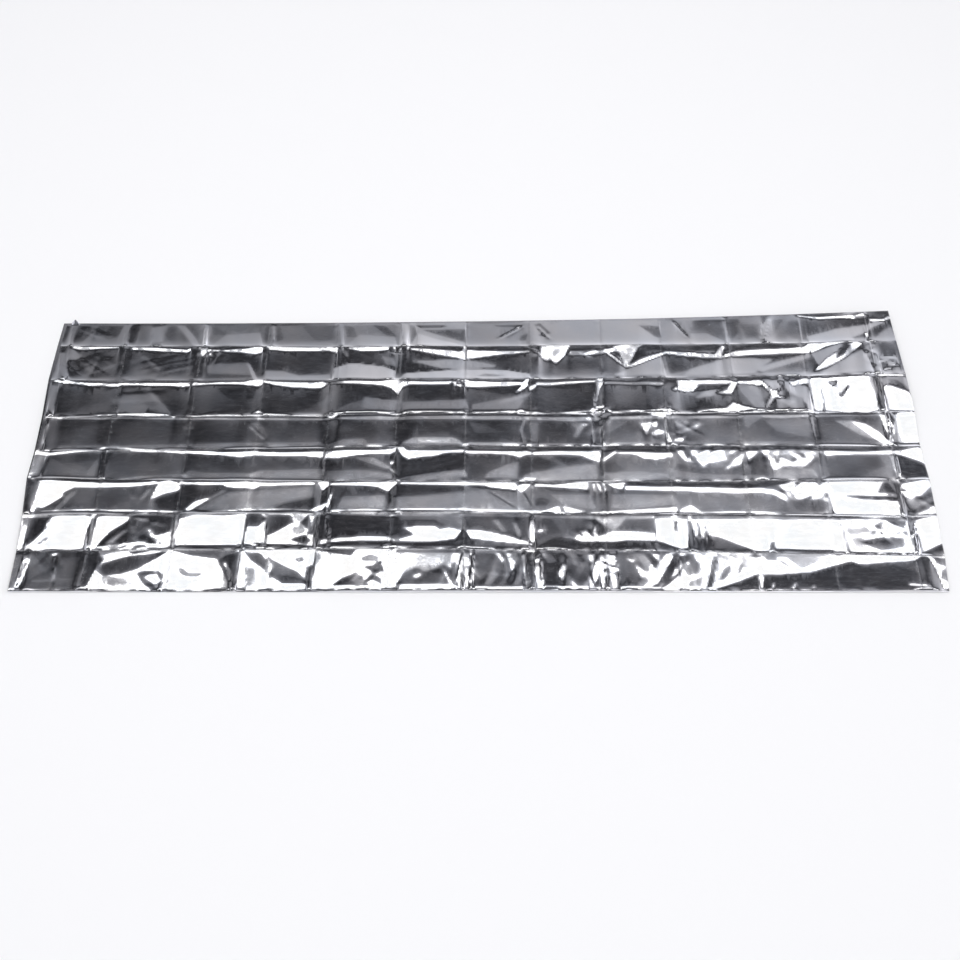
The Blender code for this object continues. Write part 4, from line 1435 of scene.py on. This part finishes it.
@dataclass
class Spread:
    """A layer of the film laid out flat: a grid of places, row by row from the back.

    rows and columns hold how many rows from the back edge and how many cells from the left
    end each line of the grid lies, and x and y where its places lie on the floor.
    """

    packet: Packet
    rows: Array
    columns: Array
    x: Array = field(init=False)
    y: Array = field(init=False)
    row: Array = field(init=False)
    column: Array = field(init=False)
    panel: Array = field(init=False)
    cell: Array = field(init=False)

    def __post_init__(self) -> None:
        """Works the places out."""
        self.row, self.column = np.meshgrid(self.rows, self.columns, indexing="ij")
        self.panel = np.clip(np.floor(self.row).astype(int), 0, self.packet.rows - 1)
        self.cell = np.clip(np.floor(self.column).astype(int), 0, self.packet.cells - 1)
        lines = np.stack(self.packet.cross_x(self.row))
        self.x = self._blend(lines, self.cell, self.column - self.cell)
        folds = []
        for number, fold in enumerate(self.packet.long_folds):
            y = self.packet.fold_y(number, self.x)
            if fold.kind in (FoldKind.RIDGE, FoldKind.VALLEY):
                pattern = Crumple(LONG_FOLD_SEED + number)
                wave = pattern.waves(self.x, self.x * 0, self.packet.wander_size)
                y = y + self.packet.wander * wave
            folds.append(y)
        self.y = self._blend(np.stack(folds), self.panel, self.row - self.panel)

    @staticmethod
    def _blend(lines: Array, first: Array, share: Array) -> Array:
        """Reads a place between two neighbouring lines.

        Args:
            lines: A coordinate of every line, at every place of the grid.
            first: Number of the line before each place.
            share: How far each place lies from that line to the next.

        Returns:
            The coordinate of each place.
        """
        before = np.take_along_axis(lines, first[None], 0)[0]
        after = np.take_along_axis(lines, first[None] + 1, 0)[0]
        return before + (after - before) * share

    @property
    def to_folds(self) -> tuple[Array, Array]:
        """How far each place lies from the folds.

        Returns:
            Distances from the nearest fold across and from the nearest long fold, in metres.
        """
        across, along = self.column - self.cell, self.row - self.panel
        length, depth = self.packet.cell_size
        return np.minimum(across, 1 - across) * length, np.minimum(along, 1 - along) * depth

    def window(self, low: Array, high: Array) -> tuple[slice, slice]:
        """Finds the part of the grid that holds a box.

        Args:
            low: Lowest column and row of the box.
            high: Highest column and row of the box.

        Returns:
            The grid's rows and columns that hold it.
        """
        first, last = np.searchsorted(self.columns, (low[0], high[0]))
        top, bottom = np.searchsorted(self.rows, (low[1], high[1]))
        return slice(top, bottom), slice(first, last)


@dataclass(frozen=True)
class Grid:
    """How many points of the sheet a cell holds, and how far they are drawn to its folds."""

    row_steps: int = 36
    cell_steps: int = 58
    last_cell_steps: int = 28
    lower_row_steps: int = 3
    row_crowding: float = 0.055
    cell_crowding: float = 0.04

    def columns(self, packet: Packet) -> Array:
        """Where the points lie along the sheet, as numbers of cells from the left end."""
        steps = [self.cell_steps] * (packet.cells - 1) + [self.last_cell_steps]
        return self._places(steps, self.cell_crowding)

    def rows(self, packet: Packet) -> Array:
        """Where the upper layer's points lie, as numbers of rows from the back edge."""
        return self._places([self.row_steps] * packet.rows, self.row_crowding)

    @staticmethod
    def _places(steps: Sequence[int], crowding: float) -> Array:
        """Spaces points over a run of cells.

        Args:
            steps: How many points each cell holds.
            crowding: How far they are drawn to the folds, as a share of a cell.

        Returns:
            Numbers of cells from the first fold.
        """
        found = []
        for cell, count in enumerate(steps):
            share = np.arange(count) / count
            found.append(cell + share - crowding * np.sin(2 * np.pi * share))
        return np.append(np.concatenate(found), float(len(steps)))


@dataclass
class FoldLevels:
    """Heights of the film, which leans as wanted in each row and meets at the long folds.

    Levels and reaches are in millimetres. The film is stiff along the blanket, and its folds
    rise evenly over even_cells cells.
    """

    packet: Packet
    grid: Grid
    stiffness: float = 0.012
    ridge_reach: float = 7.0
    fold_reach: float = 2.0
    lowest_fold: float = 1.6
    fold_step: float = 1.2
    even_cells: float = 0.5

    def heights(self, spread: Spread, lean: Array) -> Array:
        """Works the heights out, row by row from the back edge.

        Args:
            spread: The upper layer, laid out flat.
            lean: How far it leans to the front at each place, in degrees.

        Returns:
            Heights in millimetres.
        """
        run = (spread.y[:-1] - spread.y[1:]) / MM
        fall = np.tan(np.radians((lean[1:] + lean[:-1]) / 2)) * run
        found = np.empty_like(lean)
        stations = np.arange(len(self.packet.cut_levels))
        start = np.interp(spread.columns, stations, self.packet.cut_levels)
        least, most = self._limits(fall)
        for panel in range(self.packet.rows):
            first, last = panel * self.grid.row_steps, (panel + 1) * self.grid.row_steps
            fold = self.packet.long_folds[panel + 1]
            ahead = (spread.y[first : last + 1] - spread.y[last]) / MM
            climb = fold.rise * np.exp(-ahead / self.ridge_reach)
            height = self._settled(start, fall[first:last] - np.diff(climb, axis=0), run[first:last])
            end = np.clip(self._even_out(height[-1]), least[panel + 1], most[panel + 1])
            found[first : last + 1] = height + (end - height[-1]) * np.exp(-ahead / self.fold_reach)
            start = end
        return found

    def _limits(self, fall: Array) -> tuple[list[Array], list[Array]]:
        """How low and how high each fold may lie.

        A fold lies high where the rows in front of it fall, so that they stay off the floor,
        and low where they rise. It takes up a small step itself.

        Args:
            fall: Wanted fall from each line of points to the next.

        Returns:
            Lowest and highest levels along each fold, from the back, in millimetres.
        """
        steps = self.grid.row_steps
        least = [np.full(fall.shape[1], self.lowest_fold)]
        most = [np.full(fall.shape[1], self.packet.long_folds[-1].highest)]
        for panel in reversed(range(self.packet.rows)):
            drop = np.cumsum(fall[panel * steps : (panel + 1) * steps], axis=0)
            highest = self.packet.long_folds[panel].highest
            low = np.maximum(self.lowest_fold + drop.max(0), least[0] + drop[-1] - self.fold_step)
            high = np.minimum(highest, most[0] + drop[-1] + self.fold_step)
            low = np.clip(self._even_out(low), self.lowest_fold, highest)
            least.insert(0, low)
            most.insert(0, np.maximum(self._even_out(high), low))
        return least, most

    def _settled(self, start: Array, fall: Array, run: Array) -> Array:
        """Heights of one row of the film, which is stiff enough to have no steps along it.

        Of all surfaces that start from the fold behind, this one has the wanted falls and
        the least slope along the blanket. It is found for one wave along it at a time.

        Args:
            start: Heights of the fold behind.
            fall: Wanted fall from each line of points to the next.
            run: Distance from each line of points to the next.

        Returns:
            Heights, line by line, the fold behind included.
        """
        lines, count = fall.shape
        number = np.arange(count)
        basis = np.cos(np.pi * np.outer(number, number + 0.5) / count) * math.sqrt(2 / count)
        basis[0] *= math.sqrt(0.5)
        step = self.packet.cell_size[0] / MM / self.grid.cell_steps
        stiff = self.stiffness * (2 - 2 * np.cos(np.pi * number / count)) / step**2
        waves = fall @ basis.T
        spans = run.mean(1)
        grip = 1 / spans
        ahead = np.append(grip[1:], 0.0)
        pull = np.vstack([waves[1:] * grip[1:, None], np.zeros(count)]) - waves * grip[:, None]
        pull[0] += (basis @ start) * grip[0]
        reach = 0.5 * (spans + np.append(spans[1:], 0.0))
        weight = (grip + ahead)[:, None] + stiff * reach[:, None]
        for line in range(1, lines):
            share = grip[line] / weight[line - 1]
            weight[line] -= share * grip[line]
            pull[line] += share * pull[line - 1]
        found = np.empty((lines, count))
        found[-1] = pull[-1] / weight[-1]
        for line in range(lines - 2, -1, -1):
            found[line] = (pull[line] + ahead[line] * found[line + 1]) / weight[line]
        return np.vstack([start, found @ basis])

    def _even_out(self, height: Array) -> Array:
        """Evens a line of heights out along the blanket.

        Args:
            height: Heights along a fold.

        Returns:
            The evened heights.
        """
        window = np.hanning(int(self.grid.cell_steps * self.even_cells) | 1)
        padded = np.pad(height, len(window) // 2, mode="edge")
        return np.convolve(padded, window / window.sum(), mode="valid")


@dataclass
class UpperLayer:
    """The upper layer with its folds, facets, creases and dents.

    Rises, levels and lifts are in millimetres, turns in degrees, and widths, sizes, fades,
    lags and shifts in metres. Edges of cells, margins and the place and size of the lifted
    tip are in cells. Tones drift by tone_drift degrees for each metre to the right. The eye,
    in metres, is where somebody stands who sees the film as its looks are named.
    """

    packet: Packet
    grid: Grid
    eye_height: float = 2.62
    eye_distance: float = 1.86
    edge_width: float = 0.0014
    edge_margin: tuple[float, float] = (0.03, 0.05)
    cell_edge: float = 0.03
    tone_drift: float = 0.45
    cross_rise: float = 0.45
    cross_width: float = 0.0045
    cross_wander: float = 0.0012
    cross_wander_size: float = 0.02
    cross_fullness: float = 0.4
    crease_taper: float = 0.2
    swell_seed: int = 11
    swell_rise: float = 0.14
    swell_size: float = 0.085
    dent_fade: float = 0.010
    corner_fade: float = 0.009
    crush_rise: float = 0.35
    crush_edge: float = 1.3
    crush_turn: float = 53.0
    crush_cross: float = 62.0
    crush_ratio: float = 1.3
    least_level: float = 1.2
    wear_fade: float = 0.0022
    wear_lag: float = 0.001
    tip_column: float = 0.13
    tip_width: float = 0.06
    tip_depth: float = 0.09
    tip_lift: float = 8.0
    tip_shift: float = 0.007
    spread: Spread = field(init=False)

    def __post_init__(self) -> None:
        """Lays the layer out flat."""
        rows, columns = self.grid.rows(self.packet), self.grid.columns(self.packet)
        self.spread = Spread(self.packet, rows, columns)

    def build(self) -> tuple[Array, Array]:
        """Folds and crumples the layer.

        Returns:
            Points, row by row from the back, and how worn each one is.
        """
        height = FoldLevels(self.packet, self.grid).heights(self.spread, self._leans())
        height += self._cross_folds()
        height += self._creases()
        height += self._dents() + self._crumples()
        height = np.maximum(height, self.least_level)
        aside, ahead = self.spread.to_folds
        wear = np.exp(-np.minimum(ahead, aside + self.wear_lag) / self.wear_fade)
        tip = 1 - np.abs(self.spread.column - self.tip_column) / self.tip_width
        tip = np.clip(tip, 0.0, 1.0) * np.clip(1 - self.spread.row / self.tip_depth, 0.0, 1.0)
        height += self.tip_lift * tip
        y = self.spread.y + self.tip_shift * tip
        points = np.stack([self.spread.x, y, height * MM], -1).reshape(-1, 3)
        return points, wear.reshape(-1)

    def _leans(self) -> Array:
        """How far the film leans to the front so that it mirrors what it should.

        Returns:
            Angles in degrees.
        """
        spread = self.spread
        level = np.degrees(np.arctan2(self.eye_height, spread.y + self.eye_distance))
        cells = np.arange(self.packet.cells)
        stations = np.stack([cells + self.cell_edge, cells + 1 - self.cell_edge], -1).reshape(-1)
        wanted = np.empty_like(level)
        for panel, row in enumerate(self.packet.tones):
            lines = spread.panel[:, 0] == panel
            tone = np.interp(spread.columns, stations, np.repeat(row, 2))
            wanted[lines] = tone + level[lines] - level[lines].mean(0)
        margin = np.array(self.edge_margin)
        for part in FACETS:
            corners = np.array(part.corners)
            place = spread.window(corners.min(0) - margin, corners.max(0) + margin)
            share = self._cover(corners, spread.column[place], spread.row[place])
            angle = part.look.toward(float(level[place].mean()))
            angle -= self.tone_drift * float(spread.x[place].mean())
            wanted[place] += share * (angle - wanted[place])
        return (wanted - level) / 2

    def _cover(self, corners: Array, column: Array, row: Array) -> Array:
        """How far a facet covers some places, with a soft edge.

        Args:
            corners: Column and row of each of its corners.
            column: Columns of the places.
            row: Rows of the places.

        Returns:
            Shares from 0 to 1.
        """
        size = np.array(self.packet.cell_size)
        u, v, corners = column * size[0], row * size[1], corners * size
        inside = np.zeros(u.shape, dtype=bool)
        nearest = np.full(u.shape, 1.0)
        for start, end in zip(corners, np.roll(corners, -1, 0)):
            du, dv = end - start
            if dv != 0:
                edge = start[0] + (v - start[1]) * du / dv
                inside ^= ((start[1] > v) != (end[1] > v)) & (u < edge)
            nearest = np.minimum(nearest, beside_line(u, v, start, end)[1])
        signed = np.where(inside, nearest, -nearest)
        return np.clip(0.5 + signed / self.edge_width, 0.0, 1.0)

    def _cross_folds(self) -> Array:
        """The folds across the blanket, which turn over from one row to the next.

        Returns:
            Height to add, in millimetres.
        """
        spread = self.spread
        share = np.clip(spread.row - spread.panel, 0.0, 1.0)
        body = np.sin(np.pi * share) ** self.cross_fullness
        height = np.zeros_like(spread.x)
        for number, fold in enumerate(self.packet.cross_folds):
            pattern = Crumple(CROSS_FOLD_SEED + number)
            wave = pattern.waves(spread.x * 0, spread.y, self.cross_wander_size)
            away = (spread.column - (number + 1)) * self.packet.cell_size[0]
            away = np.abs(away - self.cross_wander * wave)
            rise = self.cross_rise * np.array(fold.rises)[spread.panel]
            height += rise * body * np.clip(1 - away / self.cross_width, 0.0, 1.0)
        return height

    def _creases(self) -> Array:
        """The creases placed between the folds.

        Returns:
            Height to add, in millimetres.
        """
        spread = self.spread
        height = np.zeros_like(spread.x)
        scale = np.array(self.packet.cell_size) / MM
        for crease in CREASES:
            start, end = np.array(crease.start), np.array(crease.end)
            margin = crease.reach / scale
            place = spread.window(np.minimum(start, end) - margin, np.maximum(start, end) + margin)
            u, v = spread.column[place] * scale[0], spread.row[place] * scale[1]
            along, away = beside_line(u, v, start * scale, end * scale)
            near_end = np.minimum(along, 1 - along)
            taper = np.clip(near_end / self.crease_taper, self.crease_taper, 1.0)
            height[place] += crease.rise * taper * np.clip(1 - away / crease.reach, 0.0, 1.0)
        return height

    def _dents(self) -> Array:
        """The small dents between the folds and by them.

        Returns:
            Height to add, in millimetres.
        """
        x, y = self.spread.x, self.spread.y
        aside, ahead = self.spread.to_folds
        body = np.clip(ahead / self.dent_fade, 0.0, 1.0)
        fades = {
            Zone.CELLS: body,
            Zone.ALL_OVER: 1.0,
            Zone.CORNERS: np.exp(-np.hypot(aside, ahead) / self.corner_fade),
            Zone.CROSS_FOLDS: np.exp(-aside / self.dent_fade),
        }
        height = self.swell_rise * Crumple(self.swell_seed).waves(x, y, self.swell_size) * body
        for dents in DENTS:
            dent = Crumple(dents.seed).facets(x, y, dents.size, dents.turn, dents.stretch)
            height += dents.rise * dent * fades[dents.zone]
        return height

    def _crumples(self) -> Array:
        """The patches of small crumples, each of two sets of pleats that cross.

        Returns:
            Height to add, in millimetres.
        """
        spread = self.spread
        height = np.zeros_like(spread.x)
        for number, crush in enumerate(CRUSHES):
            centre = np.array([crush.column, crush.row])
            reach = np.array([crush.wide, crush.deep])
            place = spread.window(centre - reach, centre + reach)
            x, y = spread.x[place], spread.y[place]
            u = (spread.column[place] - crush.column) / crush.wide
            v = (spread.row[place] - crush.row) / crush.deep
            fade = np.clip(self.crush_edge * (1 - u * u - v * v), 0.0, 1.0)
            size, turn = crush.grain * MM, self.crush_turn * number
            pleats = Crumple(CRUSH_SEED + number).pleats(x, y, size, turn)
            size, turn = self.crush_ratio * size, turn + self.crush_cross
            pleats = pleats + Crumple(CRUSH_CROSS_SEED + number).pleats(x, y, size, turn)
            height[place] += self.crush_rise * crush.rise * fade * pleats
        return height


@dataclass
class LowerLayer:
    """The lower layer, flat on the floor with faint folds, and the roll that leads to it.

    level, radius and rise are in millimetres, turn in degrees, and size and the peeks, by
    which its back corners lie beyond those of the upper layer, in metres.
    """

    packet: Packet
    grid: Grid
    level: float = 0.4
    radius: float = 2.2
    roll_steps: int = 8
    roll_wear: float = 0.15
    seed: int = 31
    rise: float = 0.25
    size: float = 0.09
    turn: float = 15.0
    wear: float = 0.1
    peek_left: float = 0.010
    peek_right: float = -0.006
    peek_back: float = 0.004

    def roll(self, front: Array) -> tuple[Array, Array]:
        """The soft roll round the front, from the upper layer down to the lower one.

        Args:
            front: The upper layer's last line of points.

        Returns:
            Points, row by row, and how worn each one is.
        """
        floor = self.level * MM
        found = []
        for step in range(1, self.roll_steps + 1):
            angle = math.pi * step / self.roll_steps
            z = floor + (front[:, 2] - floor) * (0.5 + 0.5 * math.cos(angle))
            y = front[:, 1] - self.radius * MM * math.sin(angle)
            found.append(np.stack([front[:, 0], y, z], -1))
        points = np.concatenate(found)
        return points, np.full(len(points), self.roll_wear)

    def build(self) -> tuple[Array, Array]:
        """Lays the layer down.

        Returns:
            Points, row by row from the front, and how worn each one is.
        """
        steps = self.grid.lower_row_steps
        rows = np.arange(self.packet.rows * steps) / steps
        spread = Spread(self.packet, rows, self.grid.columns(self.packet))
        along = 1 - spread.row / self.packet.rows
        cell = spread.column / self.packet.cells
        x = spread.x + along * ((1 - cell) * -self.peek_left + cell * self.peek_right)
        y = spread.y + along * self.peek_back
        faint = Crumple(self.seed).facets(x, y, self.size, self.turn)
        z = self.level + self.rise * (1 + faint) * along
        points = np.stack([x, y, z * MM], -1)[::-1].reshape(-1, 3)
        return points, np.full(len(points), self.wear)


@dataclass
class FilmSheet:
    """The blanket: one sheet of film, folded once and laid down."""

    packet: Packet = field(default_factory=Packet)
    grid: Grid = field(default_factory=Grid)
    finish: FilmFinish = field(default_factory=FilmFinish)
    name: str = "film_sheet"
    node: str = "foil_blanket"
    flat_size: tuple[float, float] = (2.10, 1.60)
    most_triangles: int = 196000
    smooth_angle: float = 3.0

    def build(self) -> bpy.types.Object:
        """Makes the sheet and dresses it.

        Returns:
            The finished piece.
        """
        columns = len(self.grid.columns(self.packet))
        upper = UpperLayer(self.packet, self.grid).build()
        lower = LowerLayer(self.packet, self.grid)
        layers = (upper, lower.roll(upper[0][-columns:]), lower.build())
        points = np.concatenate([points for points, _ in layers])
        wear = np.concatenate([wear for _, wear in layers])
        piece = self._mesh(points, wear, columns)
        piece.data.materials.append(self.finish.build())
        return piece

    def _mesh(self, points: Array, wear: Array, columns: int) -> bpy.types.Object:
        """Moves the points of a flat grid to the folded sheet.

        Args:
            points: Where each point goes, row by row.
            wear: How worn the film is at each point.
            columns: How many points a row has.

        Returns:
            The sheet.
        """
        rows = len(points) // columns
        bpy.ops.object.select_all(action="DESELECT")
        bpy.ops.mesh.primitive_grid_add(
            x_subdivisions=columns - 1, y_subdivisions=rows - 1, size=2.0
        )
        piece = bpy.context.object
        piece.name = self.name
        mesh = piece.data
        flat = np.empty(len(mesh.vertices) * 3)
        mesh.vertices.foreach_get("co", flat)
        flat = flat.reshape(-1, 3)
        column = np.rint((flat[:, 0] + 1) / 2 * (columns - 1)).astype(int)
        row = np.rint((1 - flat[:, 1]) / 2 * (rows - 1)).astype(int)
        order = row * columns + column
        mesh.vertices.foreach_set("co", points[order].reshape(-1))
        mesh.attributes.new("wear", "FLOAT", "POINT").data.foreach_set("value", wear[order])
        mesh.update()
        triangles = 2 * (columns - 1) * (rows - 1)
        if triangles > self.most_triangles:
            thin = piece.modifiers.new("fewer", "DECIMATE")
            thin.ratio = self.most_triangles / triangles
            bpy.ops.object.modifier_apply(modifier=thin.name)
        bpy.ops.object.shade_smooth_by_angle(angle=math.radians(self.smooth_angle))
        return piece


# ---- Studio and camera ----


@dataclass
class Studio:
    """A pale floor under a soft overhead light, with dimmer walls around it.

    walls hold the tone of the room in front of the blanket, overhead and behind it: an
    angle from the front horizon in degrees, a grey, and how much bluer it is than grey.
    """

    floor_radius: float = 14.0
    floor_sides: int = 96
    floor: FloorFinish = field(default_factory=FloorFinish)
    slope: float = 1.5
    left_to_right: tuple[float, float] = (-0.25, 0.30)
    wall_strengths: tuple[float, float] = (0.95, 2.1)
    ceiling_strength: float = 2.6
    ceiling_start: tuple[float, float] = (60.0, 60.5)
    ceiling_end: tuple[float, float] = (66.0, 67.0)
    side_colour: tuple[float, float, float, float] = (0.70, 0.70, 0.74, 1.0)
    side_start: tuple[float, float] = (1.25, 1.60)
    side_top: tuple[float, float] = (0.75, 0.90)
    lamp_size: float = 6.0
    lamp_height: float = 3.6
    lamp_power: float = 95.0
    least_north: float = 0.0001
    walls: tuple[tuple[float, float, float], ...] = (
        (0.0, 0.95, 1.01), (10.0, 0.82, 1.02), (30.0, 0.55, 1.04), (38.5, 0.42, 1.05),
        (45.0, 0.31, 1.05), (48.5, 0.24, 1.06), (50.3, 0.175, 1.06), (51.5, 0.105, 1.08),
        (52.5, 0.050, 1.10), (53.0, 0.020, 1.12), (53.6, 0.020, 1.12), (54.2, 0.044, 1.10),
        (55.6, 0.100, 1.08), (57.0, 0.165, 1.06), (58.0, 0.23, 1.05), (58.8, 0.33, 1.04),
        (59.3, 0.40, 1.04), (60.0, 0.42, 1.04), (60.5, 1.0, 1.0), (62.0, 0.43, 0.97),
        (63.3, 0.43, 0.97), (66.0, 1.0, 1.0), (67.2, 0.10, 1.08), (75.0, 0.04, 1.10),
        (90.0, 0.06, 1.10), (108.0, 0.14, 1.08), (112.0, 0.90, 1.0), (118.0, 0.90, 1.0),
        (122.0, 0.16, 1.06), (140.0, 0.24, 1.05), (158.0, 0.50, 1.04), (180.0, 0.95, 1.01),
    )

    def build(self) -> None:
        """Makes the floor and the light around it."""
        bpy.ops.object.select_all(action="DESELECT")
        bpy.ops.mesh.primitive_circle_add(
            vertices=self.floor_sides, radius=self.floor_radius, fill_type="NGON"
        )
        floor = bpy.context.object
        floor.name = self.floor.name
        floor.data.materials.append(self.floor.build())
        self._sky()
        self._lamp()

    def _lamp(self) -> None:
        """A wide soft lamp overhead for the floor, which the film doesn't mirror."""
        data = bpy.data.lights.new("soft_lamp", "AREA")
        data.shape = "SQUARE"
        data.size = self.lamp_size
        data.energy = self.lamp_power
        lamp = bpy.data.objects.new("soft_lamp", data)
        lamp.location = (0.0, 0.0, self.lamp_height)
        lamp.visible_glossy = False
        bpy.context.scene.collection.objects.link(lamp)

    def _sky(self) -> None:
        """The light of the room: a wide bright ceiling light, dark beyond it, pale walls."""
        world = bpy.data.worlds.new("studio")
        world.use_nodes = True
        bpy.context.scene.world = world
        nodes = NodeSheet(world.node_tree)
        direction = nodes.add("ShaderNodeTexCoord", output="Generated")
        east = nodes.add("ShaderNodeSeparateXYZ", {}, {0: direction})
        north, up = east.twin("Y"), east.twin("Z")
        degrees = abs(up.angle(north)) * (180 / math.pi) + east * self.slope
        stops = tuple((angle / 180, (grey, grey, grey * blue)) for angle, grey, blue in self.walls)
        ramp = nodes.add("ShaderNodeValToRGB", {"stops": stops}, {0: degrees * (1 / 180)})
        side = abs(east) / (abs(north) + self.least_north)
        beside = nodes.between(side, self.side_start, RISING)
        beside = beside * nodes.between(up, self.side_top, FADING)
        right = nodes.between(east, self.left_to_right, self.wall_strengths)
        ceiling = nodes.between(degrees, self.ceiling_start, RISING)
        ceiling = ceiling * nodes.between(degrees, self.ceiling_end, FADING)
        light = nodes.add(
            "ShaderNodeBackground",
            {},
            {
                "Color": nodes.mix(beside, ramp, self.side_colour),
                "Strength": right + ceiling * (self.ceiling_strength - right),
            },
        )
        nodes.add("ShaderNodeOutputWorld", {}, {"Surface": light})
        view = bpy.context.scene.view_settings
        view.view_transform = "Standard"
        view.look = "None"
        view.exposure = 0.0


@dataclass
class Viewpoint:
    """The camera, standing in front of the blanket and looking down at it."""

    place: tuple[float, float, float] = (0.0032, -1.8602, 2.6194)
    pitch: float = 56.2
    lens: float = 50.63
    sensor: float = 36.0

    def build(self) -> None:
        """Makes the camera and makes it the scene's own."""
        data = bpy.data.cameras.new("camera")
        data.lens = self.lens
        data.sensor_width = self.sensor
        camera = bpy.data.objects.new("camera", data)
        camera.location = self.place
        camera.rotation_euler = (math.radians(90 - self.pitch), 0.0, 0.0)
        bpy.context.scene.collection.objects.link(camera)
        bpy.context.scene.camera = camera


def report(piece: bpy.types.Object) -> None:
    """Logs what one piece came out as.

    Args:
        piece: A finished piece.
    """
    triangles = sum(len(face.vertices) - 2 for face in piece.data.polygons)
    LOG.info("%s: %d triangles, %.3f x %.3f x %.3f m", piece.name, triangles, *piece.dimensions)


def main() -> None:
    """Builds the blanket, the studio and the camera."""
    logging.basicConfig(level=logging.INFO, format="%(name)s: %(message)s")
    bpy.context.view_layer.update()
    Viewpoint().build()
    Studio().build()
    sheet = FilmSheet()
    film = sheet.build()
    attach(film, "root")
    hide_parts(sheet.node)
    report(film)


if __name__ == "__main__":
    main()
